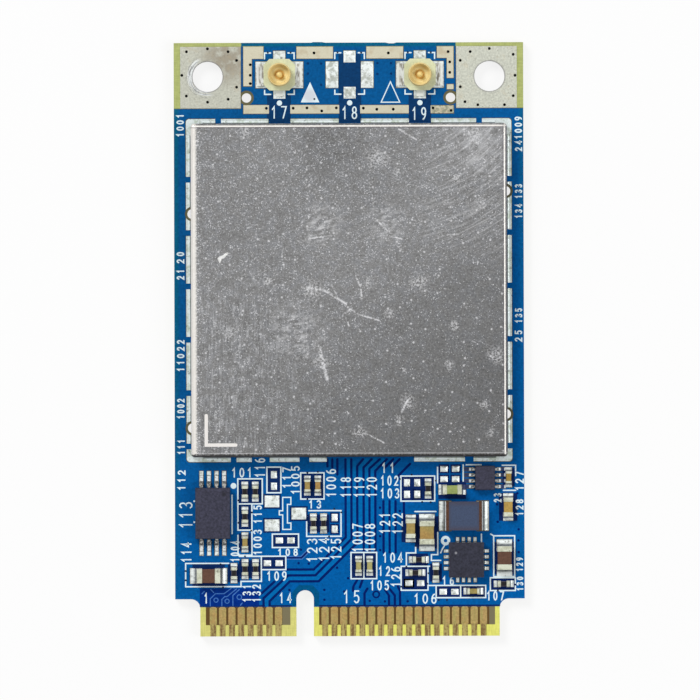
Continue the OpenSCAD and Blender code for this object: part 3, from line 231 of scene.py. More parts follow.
# Dark gaps between tracks, as drawn lines.
TRACK_GAPS = [
    [(-0.35, -10.3), (-0.35, -17.0), (-3.1, -19.75), (-5.37, -19.75)],
    [(0.15, -10.3), (0.15, -17.13), (-2.97, -20.25), (-5.3, -20.25), (-7.42, -22.2), (-7.42, -22.85)],
    [(1.15, -10.3), (0.65, -10.9), (0.65, -17.45), (-2.68, -20.76), (-5.16, -20.76), (-6.9, -22.46),
     (-6.9, -22.85)],
    [(-6.5, -20.8), (-7.6, -21.8)],
    [(1.9, -10.3), (1.2, -11.0), (1.2, -18.2)],
    [(2.6, -10.3), (1.7, -11.1), (1.7, -18.2)],
    [(3.2, -10.3), (2.2, -11.3), (2.2, -18.2)],
    [(3.75, -10.3), (3.0, -11.05)],
    [(4.3, -10.3), (3.6, -11.0)],
    [(5.2, -10.7), (4.0, -11.9), (4.0, -12.0)],
    [(-1.05, -10.3), (-1.05, -11.6)],
    [(-1.48, -10.3), (-1.48, -11.0)],
    [(-1.9, -10.3), (-1.9, -10.9)],
    [(2.9, -13.9), (2.9, -18.3)],
    [(3.42, -13.9), (3.42, -18.3)],
    [(3.93, -13.9), (3.93, -18.3)],
    [(4.65, -13.9), (4.65, -15.6)],
    [(0.65, -20.6), (0.3, -21.2), (0.25, -21.6)],
    [(1.1, -20.6), (0.85, -21.3)],
    [(1.5, -21.4), (1.25, -21.8), (1.25, -22.8)],
    [(3.0, -21.5), (3.35, -22.0), (3.35, -22.8)],
    [(3.3, -21.3), (3.85, -22.0), (3.85, -22.8)],
    [(4.1, -21.2), (4.3, -21.6), (4.3, -22.8)],
    [(-5.37, -18.72), (-4.15, -18.72), (-3.65, -18.22)],
]
# Tracks that show lighter than the mask round them.
BRIGHT_TRACKS = [
    [(-0.1, -10.4), (-0.1, -17.06), (-3.04, -20.0), (-5.3, -20.0)],
    [(0.4, -10.6), (0.4, -17.3), (-2.83, -20.51), (-5.25, -20.51), (-7.15, -22.35), (-7.15, -22.8)],
    [(1.5, -10.35), (0.92, -10.98), (0.92, -18.1)],
    [(2.2, -10.35), (1.45, -11.1), (1.45, -18.1)],
    [(2.85, -10.35), (1.95, -11.25), (1.95, -18.1)],
    [(3.16, -13.95), (3.16, -18.2)],
    [(3.68, -13.95), (3.68, -18.2)],
]
# The zone of fine tracks by the first contacts, and its light lines.
FINE_ZONE = (-12.9, -7.8, -22.85, -21.35)
FINE_TRACKS = [
    [(-12.0, -22.85), (-12.0, -22.25), (-11.55, -21.8), (-10.8, -21.8), (-10.2, -21.35)],
    [(-11.0, -22.85), (-11.0, -22.3), (-10.75, -22.05), (-10.55, -22.05), (-9.75, -21.4)],
    [(-10.05, -22.85), (-10.05, -21.95), (-9.5, -21.45)],
    [(-9.4, -22.8), (-9.25, -22.6)],
    [(-12.7, -21.8), (-12.5, -21.6)],
    [(-11.95, -21.45), (-11.7, -21.7)],
    [(-5.37, -18.62), (-4.2, -18.62), (-3.75, -18.17)],
    [(-5.37, -18.85), (-4.1, -18.85), (-3.6, -18.35)],
]
# Their rings, as x, y and radius, and a dark ring on the pour, as x, y and its two radii.
FINE_RINGS = [(-11.5, -22.35, 0.18), (-10.55, -22.45, 0.18), (-9.5, -22.1, 0.2)]
POUR_RING = (2.25, -21.9, 0.34, 0.2)
# Small dark dots on the copper pour.
POUR_DOTS = [
    (-2.2, -21.5), (-2.2, -22.35), (-4.4, -19.2), (-3.53, -19.25), (-1.1, -19.6), (-0.15, -20.5),
    (-0.5, -21.65), (-5.2, -21.5), (-4.2, -18.05), (2.6, -14.45), (2.6, -16.9), (2.6, -18.1),
    (4.3, -14.75), (1.7, -22.45), (3.0, -22.5), (4.95, -22.5), (-3.48, 23.7), (-2.34, 23.67),
    (-3.48, 22.83), (-2.34, 21.86), (2.49, 23.7), (3.66, 23.7), (2.49, 22.77), (3.66, 22.8),
    (14.4, -13.25), (12.65, -14.2), (12.95, -15.0), (12.7, -15.7), (14.5, -16.35), (14.47, -17.3),
    (14.5, -18.3),
]
# Printed boxes. All but the last stand on dark mask.
PRINTED_BOXES = [
    (-9.6, -7.5, -14.1, -11.95), (-9.6, -8.4, -16.35, -14.1), (-7.1, -5.9, -13.15, -10.95),
    (-6.65, -4.4, -17.85, -16.7), (-7.6, -5.5, -19.75, -18.6), (-4.2, -2.2, -13.7, -11.45),
    (0.1, 2.3, -20.55, -18.3), (4.4, 7.3, -13.9, -11.75), (4.4, 6.7, -21.55, -19.5),
    (7.4, 11.65, -22.2, -21.15), (12.05, 14.2, -21.6, -20.5), (12.35, 14.15, -20.4, -16.9),
]
# Printed lines that are open.
PRINTED_LINES = [
    [(-10.1, -13.35), (-10.1, -16.65)],
    [(-8.4, -16.35), (-8.4, -18.5), (-9.6, -18.5), (-9.6, -16.8)],
    [(-9.5, -18.6), (-7.6, -18.6)],
    [(-10.4, -19.2), (-14.1, -19.2), (-14.1, -19.77)],
    [(-14.1, -19.95), (-14.1, -20.56)],
    [(-14.1, -20.74), (-14.1, -21.2), (-9.35, -21.2), (-9.35, -20.75), (-7.6, -20.75), (-7.6, -19.75)],
    [(-3.5, -14.7), (-0.75, -14.7), (-0.75, -16.9), (-3.7, -16.9), (-3.7, -15.65)],
    [(1.2, -20.55), (1.2, -18.3)],
    [(5.6, -14.8), (7.4, -14.8)],
    [(7.55, -16.6), (7.55, -18.5), (7.0, -18.5), (7.0, -19.0), (7.8, -19.0)],
    [(5.65, -17.85), (5.65, -18.35), (4.85, -18.35), (4.85, -19.5), (6.85, -19.5)],
    [(9.5, -22.2), (9.5, -21.15)],
    [(6.7, -21.15), (7.4, -21.15)],
    [(12.35, -16.9), (12.1, -16.75)],
    [(10.0, -10.8), (11.3, -10.8)],
    [(13.1, -10.85), (14.25, -10.85), (14.25, -11.3)],
    [(13.2, -13.0), (14.25, -13.0)],
    [(9.75, -10.8), (9.75, -12.2)],
    [(7.55, -11.0), (7.55, -12.35)],
    [(11.3, -16.75), (11.3, -17.4)],
    [(8.15, -17.7), (7.95, -18.0), (7.8, -18.35)],
]
# The printed outline by the three-legged place, and the two triangles.
TRANSISTOR_OUTLINE = [
    (-5.05, -13.55), (-5.75, -13.55), (-5.75, -14.7), (-6.05, -14.7), (-6.05, -15.05),
    (-5.75, -15.05), (-5.75, -16.3), (-5.05, -16.3), (-5.05, -15.75), (-5.35, -15.75),
    (-5.35, -14.15), (-5.05, -14.15),
]
FILLED_TRIANGLE = [(-4.1, 20.35), (-2.5, 20.35), (-3.3, 22.1)]
OPEN_TRIANGLE = [(2.8, 20.35), (4.4, 20.35), (3.6, 22.1)]
# Printed dots, as x, y and radius, and a ring, as x, y and its two radii.
PRINTED_DOTS = [(-9.97, -12.55, 0.25), (-13.35, -13.85, 0.08), (-13.35, -15.65, 0.08)]
PRINTED_RING = (8.22, -17.3, 0.41, 0.16)
# The aerial connectors' places across, and the printed corners and dot round each: the distances
# of edge and end from the middle, the heights of bar and leg, and the dot's height and radius.
CONNECTOR_PLACES = [-5.93, 0.1, 6.13]
BRACKET_EDGE, BRACKET_END = 1.27, 0.75
BRACKET_ROWS = [(24.6, 24.1), (21.05, 21.4)]
BRACKET_DOT = (20.3, 0.23)
# Printed numbers: x, y, how many digits, height and length. These read across.
NUMBERS_ACROSS = [
    (-9.25, -11.42, 3, 0.85, 1.79), (3.3, -11.05, 2, 0.88, 1.15), (3.42, -12.14, 3, 0.88, 1.56),
    (3.45, -13.23, 3, 0.88, 1.68), (3.67, -18.75, 3, 0.88, 1.76), (2.95, -19.9, 2, 0.85, 1.03),
    (2.54, -21.13, 3, 0.86, 1.68), (6.46, -22.28, 3, 0.88, 2.0), (12.48, -22.05, 3, 0.82, 1.53),
    (-5.33, -18.26, 3, 0.66, 1.76), (-6.29, -20.3, 3, 0.83, 1.75), (-2.98, -14.15, 2, 0.73, 1.1),
    (-12.3, -22.2, 1, 0.91, 0.45), (-5.54, -22.19, 2, 0.91, 1.09), (0.13, -22.11, 2, 1.12, 1.45),
    (8.43, -20.75, 2, 0.78, 1.05), (-5.98, 19.5, 2, 1.09, 1.38), (0.08, 19.45, 2, 1.1, 1.36),
    (6.05, 19.37, 2, 1.1, 1.28),
]
# These read upwards.
NUMBERS_UP = [
    (-14.46, 18.4, 4, 0.65, 2.0), (-14.47, 7.05, 2, 0.67, 1.0), (-14.47, 5.6, 2, 0.67, 0.9),
    (-14.47, -0.48, 2, 0.67, 0.95), (-14.47, -1.97, 3, 0.65, 1.55), (-14.47, -5.92, 4, 0.65, 1.75),
    (-14.44, -9.2, 3, 0.63, 1.3), (-14.42, -12.06, 3, 0.68, 1.74), (-14.07, -15.05, 3, 1.15, 2.3),
    (-14.03, -18.25, 3, 0.9, 1.73), (-7.9, -15.0, 3, 0.74, 1.59), (-7.92, -17.4, 4, 0.75, 2.2),
    (-9.85, -18.17, 4, 0.76, 1.81), (-7.69, -11.0, 3, 0.9, 1.7), (-5.4, -11.87, 3, 0.76, 1.85),
    (-4.65, -12.07, 4, 0.76, 2.48), (-1.59, -12.33, 4, 0.87, 2.45), (-0.33, -12.7, 3, 0.9, 1.76),
    (0.82, -12.7, 3, 0.9, 1.75), (1.9, -12.7, 3, 0.9, 1.76), (0.67, -17.05, 4, 0.91, 2.46),
    (1.73, -17.05, 4, 0.91, 2.46), (3.01, -15.8, 3, 0.91, 1.82), (4.1, -15.83, 3, 0.91, 1.8),
    (-3.24, -18.1, 3, 0.91, 2.06), (-2.21, -18.04, 3, 0.91, 2.06), (-1.18, -18.0, 3, 0.91, 1.82),
    (3.95, -20.4, 3, 0.85, 1.76), (12.7, -13.63, 2, 0.68, 0.79), (14.58, -12.2, 3, 0.76, 1.65),
    (14.58, -14.48, 3, 0.68, 1.44), (14.56, -19.36, 3, 0.6, 1.21), (14.6, -21.02, 3, 0.58, 1.24),
    (-8.85, -21.78, 3, 0.76, 1.52), (-8.03, -21.78, 3, 0.76, 1.52), (14.57, 18.12, 4, 0.65, 1.95),
    (14.58, 16.57, 2, 0.64, 0.92), (14.57, 12.67, 3, 0.64, 1.25), (14.57, 10.97, 3, 0.64, 1.25),
    (14.55, 2.0, 3, 0.63, 1.3), (14.53, 0.25, 2, 0.66, 1.0),
]
# Filled holes that show as dark dots on the printed lines.
PRINT_DOTS = [
    (-9.55, -13.8), (-9.55, -15.72), (-8.4, -14.84), (-8.46, -16.4), (-3.63, -11.43),
    (-2.72, -11.37), (-3.63, -13.7), (-0.72, -14.85), (-1.33, -14.55), (-11.1, -19.27),
    (-14.1, -19.85), (-14.1, -20.65), (-9.0, -18.6), (-10.9, -21.25), (5.33, -11.63),
    (4.32, -12.0), (6.22, -13.97), (6.95, -14.0), (7.4, -12.15), (5.65, -17.75), (4.85, -19.52),
    (6.75, -20.1), (6.65, -21.0), (4.4, -21.25), (12.7, -21.6), (14.2, -21.1), (8.32, -22.4),
    (7.62, -22.4), (-1.78, -16.92), (-6.92, 24.64), (-4.96, 24.64), (-0.93, 24.64), (1.1, 24.62),
    (5.1, 24.62), (7.07, 24.62), (-2.93, 20.64),
]
# A digit's largest width, as a share of its height and of its share of the number's length.
DIGIT_SHAPE, DIGIT_SHARE = 0.62, 0.76
# The digits as drawn lines in a square from 0 to 1. A line whose last point is None is closed.
LOOP = 360 - 360 / 12
DIGITS = [
    [arc(0.5, 0.5, 0.46, 0.5, 90, 90 + LOOP, 12) + [None]],
    [[(0.2, 0.76), (0.56, 1.0), (0.56, 0.0)]],
    [arc(0.5, 0.7, 0.44, 0.3, 165, -35, 7) + [(0.04, 0.0), (0.98, 0.0)]],
    [arc(0.44, 0.74, 0.44, 0.26, 150, -80, 7) + arc(0.44, 0.25, 0.5, 0.26, 70, -150, 7)],
    [[(0.72, 0.0), (0.72, 1.0), (0.02, 0.3), (1.0, 0.3)]],
    [[(0.88, 1.0), (0.16, 1.0), (0.1, 0.58)] + arc(0.46, 0.32, 0.46, 0.32, 110, -145, 7)],
    [arc(0.7, 0.34, 0.66, 0.66, 96, 168, 4), arc(0.5, 0.3, 0.44, 0.3, 180, 180 + LOOP, 12) + [None]],
    [[(0.02, 1.0), (0.98, 1.0), (0.36, 0.0)]],
    [arc(0.5, 0.75, 0.38, 0.25, 90, 90 + LOOP, 12) + [None],
     arc(0.5, 0.26, 0.46, 0.26, 90, 90 + LOOP, 12) + [None]],
    [arc(0.5, 0.7, 0.44, 0.3, 0, LOOP, 12) + [None], arc(0.3, 0.66, 0.64, 0.66, -84, -12, 4)],
]


def paint(name, description, red, green, blue):
    """A colour that a user may change."""
    return FloatVectorProperty(
        name=name, description=description, subtype="COLOR", size=3, min=0, max=1,
        default=srgb(red, green, blue))


def length(name, description, millimetres, low, high):
    """A length that a user may change, given in millimetres."""
    return FloatProperty(
        name=name, description=description, unit="LENGTH", precision=5,
        default=millimetres * MM, min=low * MM, max=high * MM)


class CardSizes(bpy.types.PropertyGroup):
    """Sizes of what is laid on the board."""

    print_width: length("Print line", "Width of a printed line", 0.115, 0.08, 0.25)
    print_height: length("Print thickness", "How proud the print stands", 0.012, 0.005, 0.03)
    gap_width: length("Track gap", "Width of the dark gap between tracks", 0.2, 0.08, 0.25)
    track_width: length("Track", "Width of a track", 0.33, 0.1, 0.5)
    view_distance: length("View distance", "Camera height above the card", 1000, 300, 3000)
    view_width: length("View width", "Width that the picture takes in", 60.09, 40, 120)


class CardColours(bpy.types.PropertyGroup):
    """Colours of the card's finishes."""

    mask_blue: paint("Mask", "Solder mask over copper", 0, 92, 164)
    mask_navy: paint("Mask over laminate", "Solder mask where no copper lies under it", 11, 38, 94)
    mask_teal: paint("Mask edge", "Solder mask along the card's edges", 10, 98, 132)
    track_blue: paint("Track", "Solder mask over a track", 0, 106, 176)
    print_white: paint("Print", "Printed lines and digits", 228, 245, 250)
    laminate: paint("Laminate", "Bare glass-fibre laminate", 212, 208, 120)
    # Painted shade: the laminate where inner copper lies below.
    laminate_dark: paint("Laminate over copper", "Laminate over the inner copper", 92, 66, 26)
    land: paint("Mounting land", "Dull tin round the screw holes", 196, 198, 185)
    copper: paint("Ground strip", "Preserved copper of the strips", 208, 203, 180)
    gold: paint("Contact", "Gold of the edge contacts", 182, 154, 98)
    steel: paint("Shield", "Tinned sheet of the can", 132, 132, 132)
    solder: paint("Solder", "Reflowed solder", 232, 238, 236)
    plastic: paint("Connector body", "Moulded body of an aerial connector", 216, 220, 182)
    brass: paint("Connector metal", "Gold-plated parts of an aerial connector", 238, 220, 160)
    resin: paint("Chip", "Moulded resin of the chips", 56, 56, 72)
    tin: paint("Lead", "Tinned leads and end caps", 216, 220, 200)
    ferrite: paint("Ferrite", "Core of the inductor", 84, 56, 40)
    slate: paint("Inductor cover", "Resin over the winding", 56, 70, 98)
    brown: paint("Brown capacitor", "Ceramic of the large capacitors", 94, 65, 51)
    tan: paint("Tan capacitor", "Ceramic of the other capacitors", 152, 140, 82)
    glaze: paint("Resistor glaze", "Black glaze of the resistors", 28, 26, 28)


# The sockets of a Mix node that carry colours.
MIX_FIRST, MIX_SECOND, MIX_RESULT = 6, 7, 2


class Wire:
    """A shader socket that can be used in a sum, as a number can."""

    def __init__(self, nodes, socket):
        self.nodes = nodes
        self.socket = socket

    def __add__(self, other):
        return self.nodes.math("ADD", self, other)

    def __sub__(self, other):
        return self.nodes.math("SUBTRACT", self, other)

    def __rsub__(self, other):
        return self.nodes.math("SUBTRACT", other, self)

    def __mul__(self, other):
        return self.nodes.math("MULTIPLY", self, other)

    def __gt__(self, other):
        return self.nodes.math("GREATER_THAN", self, other)

    def __lt__(self, other):
        return self.nodes.math("LESS_THAN", self, other)

    def __abs__(self):
        return self.nodes.math("ABSOLUTE", self)

    __radd__ = __add__
    __rmul__ = __mul__


class Nodes:
    """The nodes of a material or of the world, in the making."""

    def __init__(self, owner):
        owner.use_nodes = True
        self.tree = owner.node_tree
        self.tree.nodes.clear()

    def node(self, kind, settings=None, values=None, output=0):
        """Adds a node: its settings first, then the values or links of its sockets."""
        made = self.tree.nodes.new(kind)
        for name, value in (settings or {}).items():
            setattr(made, name, value)
        for name, value in (values or {}).items():
            if isinstance(value, Wire):
                self.tree.links.new(value.socket, made.inputs[name])
            else:
                made.inputs[name].default_value = value
        if output is None:
            return None
        if isinstance(output, tuple):
            return [Wire(self, made.outputs[name]) for name in output]
        return Wire(self, made.outputs[output])

    def math(self, operation, *values):
        return self.node("ShaderNodeMath", {"operation": operation}, dict(enumerate(values)))

    def most(self, *values):
        return reduce(lambda first, second: self.math("MAXIMUM", first, second), values)

    def least(self, *values):
        return reduce(lambda first, second: self.math("MINIMUM", first, second), values)

    def seen(self):
        """1 for the camera, reflections and glass, and 0 for the light that falls on surfaces."""
        camera, glossy, through = self.node(
            "ShaderNodeLightPath", None, None,
            ("Is Camera Ray", "Is Glossy Ray", "Is Transmission Ray"))
        return self.least(camera + glossy + through, 1.0)


class Finish(Nodes):
    """A material in the making. Lengths inside it are in millimetres, along the card's own axes."""

    def __init__(self, name):
        self.material = bpy.data.materials.new(name)
        super().__init__(self.material)
        here = self.node("ShaderNodeTexCoord", output="Object")
        self.place = self.node(
            "ShaderNodeVectorMath", {"operation": "SCALE"}, {0: here, "Scale": 1 / MM})
        self.x, self.y, self.z = self.node(
            "ShaderNodeSeparateXYZ", None, {0: self.place}, ("X", "Y", "Z"))

    def join(self, x, y, z=0.0):
        return self.node("ShaderNodeCombineXYZ", None, {"X": x, "Y": y, "Z": z})

    def stretch(self, x, y, z=1.0):
        """The place, drawn closer along each axis by these factors."""
        return self.node(
            "ShaderNodeVectorMath", {"operation": "MULTIPLY"}, {0: self.place, 1: (x, y, z)})

    def noise(self, scale, detail=2.0, place=None, rough=0.5):
        """Soft cloud from 0 to 1 with about scale bumps to the millimetre."""
        return self.node(
            "ShaderNodeTexNoise", None,
            {"Vector": place or self.place, "Scale": scale, "Detail": detail, "Roughness": rough})

    def cells(self, scale):
        """The distance to the nearest of scattered points, and that point's own chance number."""
        distance, shade = self.node(
            "ShaderNodeTexVoronoi", {"voronoi_dimensions": "2D"},
            {"Vector": self.place, "Scale": scale}, ("Distance", "Color"))
        return distance, self.node("ShaderNodeSeparateColor", None, {0: shade}, "Red")

    def ramp(self, value, low, high, first=0.0, last=1.0):
        """From 0 at low to 1 at high, with soft ends."""
        return self.node(
            "ShaderNodeMapRange", {"interpolation_type": "SMOOTHSTEP"},
            {"Value": value, "From Min": low, "From Max": high, "To Min": first, "To Max": last})

    def fall(self, value, low, high):
        """From 1 at low to 0 at high, with soft ends."""
        return self.ramp(value, low, high, 1.0, 0.0)

    def band(self, value, low, high, soft=0.03):
        """1 from low to high and 0 outside."""
        return self.ramp(value, low - soft, low + soft) * self.fall(value, high - soft, high + soft)

    def patch(self, low_x, high_x, low_y, high_y):
        """1 inside a rectangle of the card and 0 outside."""
        return self.band(self.x, low_x, high_x) * self.band(self.y, low_y, high_y)

    def patches(self, areas):
        """1 inside any of some rectangles of the card and 0 outside."""
        return self.most(*(self.patch(*area) for area in areas))

    def distance(self, across, along):
        """The straight length of a way across and along."""
        return self.math("SQRT", across * across + along * along)

    def reach(self, x, y):
        """The distance from a point of the card."""
        return self.distance(self.x - x, self.y - y)

    def turn(self, x, y):
        """The angle round a point of the card, in radians."""
        return self.math("ARCTAN2", self.y - y, self.x - x)

    def up(self):
        """1 where the surface looks straight up, 0 where it is upright."""
        normal = self.node("ShaderNodeNewGeometry", output="Normal")
        return self.node("ShaderNodeSeparateXYZ", None, {0: normal}, "Z")

    def mix(self, factor, first, second):
        """A colour between two colours."""
        def four(colour):
            return colour if isinstance(colour, Wire) else (*colour, 1.0)
        return self.node(
            "ShaderNodeMix", {"data_type": "RGBA"},
            {0: factor, MIX_FIRST: four(first), MIX_SECOND: four(second)}, MIX_RESULT)

    def coat(self, colour, *coats):
        """A colour under coats, each given as how much of it shows and its own colour."""
        return reduce(lambda under, coat: self.mix(coat[0], under, coat[1]), coats, colour)

    def shade(self, colour, factor):
        """A colour made lighter or darker by a changing factor."""
        return self.node(
            "ShaderNodeVectorMath", {"operation": "SCALE"}, {0: colour, "Scale": factor})

    def bump(self, height, millimetres):
        """The normal of a surface whose relief is this deep."""
        return self.node(
            "ShaderNodeBump", None, {"Height": height, "Distance": millimetres * MM}, "Normal")

    def surface(self, colour, roughness, normal, metallic=0.0, specular=0.5):
        """Ends the material in one Principled shader and returns it."""
        shader = self.node("ShaderNodeBsdfPrincipled", None, {
            "Base Color": colour, "Roughness": roughness, "Normal": normal,
            "Metallic": metallic, "Specular IOR Level": specular})
        self.node("ShaderNodeOutputMaterial", None, {"Surface": shader}, None)
        return self.material


def mask_finish(name, colour, edge_colour):
    """Semi-gloss solder mask: cloudy, slightly dimpled, with its own tint along the card's edges."""
    mask = Finish(name)
    cloud = mask.noise(0.5, 3)
    grain = mask.noise(7, 2)
    speck = mask.noise(4, 3, rough=0.7)
    sides = mask.ramp(abs(mask.x), BOARD_HIGH.x - 0.55, BOARD_HIGH.x - 0.2)
    top = mask.ramp(mask.y, BOARD_HIGH.y - 0.525, BOARD_HIGH.y - 0.225)
    shoulders = mask.fall(mask.y, -22.6, -21.9) * mask.ramp(abs(mask.x), 13.2, 13.7)
    # Duller towards the upper left.
    far = mask.ramp(mask.x - mask.y, -26.0, 20.0)
    tone = mask.coat(
        colour,
        ((1 - far) * 0.4, srgb(20, 82, 122)),
        (mask.most(sides, shoulders, top) * (0.95 - far * 0.8), edge_colour))
    tone = mask.shade(tone, 0.18 + cloud * 0.26 + grain * 0.3 + speck * 0.95 + far * 0.06)
    return mask.surface(
        tone, 0.32 + grain * 0.16, mask.bump(grain + cloud * 2, 0.004), specular=0.04)


def laminate_finish(colours):
    """Glass-fibre laminate: woven streaks, painted shade where inner copper lies below, layered at the
    edge.
    """
    board = Finish("laminate")
    weave = board.noise(1.0, 3, board.stretch(9, 1.2, 3))
    fill = board.noise(1.0, 3, board.stretch(1.4, 7, 3))
    layers = board.noise(1.0, 2, board.stretch(0.8, 0.8, 22))
    tongue = board.mix(board.ramp(board.x, -5.0, -2.0), colours.laminate, srgb(226, 224, 112))
    copper = board.mix(board.patches(BARE_COPPER), colours.laminate_dark, srgb(120, 112, 84))
    masked = board.ramp(board.y, -22.95, -22.85)
    strips = board.ramp(abs(board.x), 14.1, 14.2) * board.ramp(board.y, 19.8, 19.9)
    bare = board.most(board.ramp(board.y, 25.1, 25.2), strips)
    side = board.fall(board.z, 0.93, 0.955)
    tone = board.coat(
        board.shade(tongue, 0.56 + weave * 0.6 + fill * 0.28),
        # Painted shade over the inner copper, darkest among the contacts.
        (board.patches(INNER_COPPER), copper),
        (masked, srgb(100, 96, 66)),
        (bare, board.shade(srgb(172, 180, 110), 0.5 + fill * 0.5 + weave * 0.5)),
        (side, board.shade(srgb(166, 162, 88), 0.7 + layers * 0.6)))
    return board.surface(tone, 0.55 + weave * 0.2, board.bump(weave + fill, 0.01), specular=0.25)


def print_finish(name, colour):
    """White ink, a little uneven, and greyer inside the filled triangle."""
    ink = Finish(name)
    grain = ink.noise(12, 2)
    inner = ink.fall(ink.reach(-3.32, 20.95), 0.3, 0.8)
    tone = ink.mix(inner * 0.8, ink.shade(colour, 0.88 + grain * 0.2), srgb(206, 208, 216))
    return ink.surface(tone, 0.55, ink.bump(grain, 0.003), specular=0.2)


def land_finish(colours):
    """Dull tin round the screw holes, with thin arcs rubbed by screw heads and brown stains."""
    tin = Finish("tinned_land")
    middle = (box_of("mounting_land_left")[0].x + box_of("mounting_land_right")[1].x) / 2
    across = abs(tin.x - middle) - HOLE_PLACE[0]
    along = tin.y - HOLE_PLACE[1]
    far = tin.distance(across, along)
    left_side = tin.fall(tin.x, -1.0, 1.0)
    rub = tin.noise(1.0, 3, tin.join(far * 7, tin.x * 0.6, tin.y * 0.6))
    grain = tin.noise(6, 3)
    cloud = tin.noise(1.3, 4, rough=0.6)
    stain = tin.fall(tin.reach(1.7 - HOLE_PLACE[0], 1.6 + HOLE_PLACE[1]), 0.6, 3.2)
    # The left screw's head has rubbed the outer side of its land.
    turned = left_side * tin.ramp(across - along * 0.35, -0.1, 0.7)
    crescent = tin.band(far, 1.3, 1.72, 0.1) * turned
    lines = tin.band(rub, 0.46, 0.49, 0.012) * tin.band(far, 1.3, 1.9, 0.14)
    arc_line = tin.band(far + (rub - 0.5) * 0.3, 1.52, 1.57, 0.02) * turned
    pits, chance = tin.cells(3.2)
    tone = tin.coat(
        tin.shade(colours.land, 0.48 + grain * 0.8 + cloud * 0.26),
        (tin.ramp(cloud, 0.32, 0.56) * stain * 0.8, srgb(142, 130, 112)),
        (left_side * 0.25, srgb(164, 160, 146)),
        (tin.ramp(cloud, 0.55, 0.7) * 0.3, srgb(176, 160, 128)),
        (crescent * tin.ramp(rub, 0.36, 0.5) * 0.85, srgb(236, 240, 240)),
        (tin.most(lines * (0.2 + turned * 0.55), arc_line * 0.8), srgb(88, 88, 94)),
        (tin.fall(pits, 0.05, 0.17) * (chance > 0.72) * 0.5, srgb(120, 108, 88)),
        (tin.fall(far, 1.33, 1.42) * 0.6, srgb(120, 118, 122)))
    return tin.surface(tone, 0.46 + grain * 0.1, tin.bump(grain + rub, 0.006), 0.6)


def strip_finish(colours):
    """Preserved copper: pale tan, finely grained, and tarnished on one strip."""
    strip = Finish("bare_copper")
    grain = strip.noise(9, 3)
    cloud = strip.noise(1.2, 2)
    tarnish = strip.patch(*TARNISHED_STRIP) * strip.ramp(strip.noise(4, 3, rough=0.65), 0.4, 0.6)
    tone = strip.coat(
        strip.shade(colours.copper, 0.82 + grain * 0.28),
        (strip.ramp(cloud, 0.5, 0.75) * 0.4, srgb(172, 150, 116)),
        (tarnish * 0.7, srgb(118, 128, 108)))
    return strip.surface(tone, 0.42 + grain * 0.2, strip.bump(grain, 0.005), 0.6)


def contact_finish(colours):
    """Gold contacts: each a little different, worn in streaks where the socket wipes them."""
    gold = Finish("contact_gold")
    each = gold.noise(1.0, 1, gold.join(gold.x * 1.7, 4.0, gold.z * 3))
    streak = gold.noise(1.0, 3, gold.stretch(10, 0.5))
    cloud = gold.noise(1.6, 3)
    speck = gold.noise(5, 3, rough=0.7)
    fresh = gold.coat(
        colours.gold,
        (gold.ramp(each, 0.4, 0.6), srgb(172, 158, 96)),
        (gold.ramp(cloud, 0.45, 0.65) * 0.5, srgb(176, 138, 82)))
    wiped = gold.mix(
        gold.ramp(streak * 0.6 + speck * 0.4, 0.4, 0.6), srgb(124, 96, 60), srgb(182, 166, 104))
    streaked_zone = gold.fall(gold.y, -24.55, -24.35)
    tone = gold.mix(streaked_zone, gold.shade(fresh, 0.38 + speck * 1.2), wiped)
    tone = gold.shade(tone, 0.9 + streak * 0.2)
    return gold.surface(tone, 0.34 + cloud * 0.14, gold.bump(streak, 0.003), 0.75)


def solder_finish(name, colour, dark=srgb(150, 154, 140), share=0.5, covers=(), cover=None):
    """Reflowed solder or tin: white where it looks up, with soft duller blotches, and painted shade on
    its slopes.
    """
    tin = Finish(name)
    wide = tin.noise(1.1, 2)
    middle = tin.noise(3.0, 3)
    grain = tin.noise(11, 2)
    spots = tin.noise(3.4, 3, rough=0.6)
    blotch = tin.ramp(wide * 0.45 + middle * 0.55, share - 0.05, share + 0.12)
    tone = tin.coat(
        tin.shade(colour, 0.88 + grain * 0.28),
        (blotch * 0.7, dark),
        (tin.ramp(spots, 0.58, 0.7) * 0.6, srgb(84, 84, 76)),
        # Painted shade on the slopes, for the dark that sloped solder reflects.
        (tin.fall(tin.up(), 0.5, 0.96) * 0.8, srgb(70, 70, 70)))
    metallic = 0.55
    if covers:
        hidden = tin.patches(covers)
        tone = tin.mix(hidden, tone, cover)
        metallic = (1 - hidden) * metallic
    return tin.surface(tone, 0.34 + grain * 0.14, tin.bump(wide + grain * 0.3, 0.008), metallic)


def lead_finish():
    """Bent leads: white feet, painted shade on the slopes, and speckled grey shoulders by the body."""
    tin = Finish("lead_tin")
    grain = tin.noise(7, 3, rough=0.6)
    raised = tin.ramp(tin.z, MASK_TOP + 0.16, MASK_TOP + 0.32)
    foot = tin.mix(tin.ramp(grain, 0.5, 0.62) * 0.6, srgb(236, 240, 240), srgb(120, 118, 112))
    shoulder = tin.mix(tin.ramp(grain, 0.42, 0.58), srgb(190, 190, 186), srgb(92, 88, 82))
    # Painted shade where the leads slope.
    slope_shade = tin.fall(tin.up(), 0.4, 0.97)
    tone = tin.coat(foot, (raised, shoulder), (slope_shade * 0.8, srgb(54, 52, 54)))
    return tin.surface(tone, 0.3 + grain * 0.2, tin.bump(grain, 0.006), 0.4)


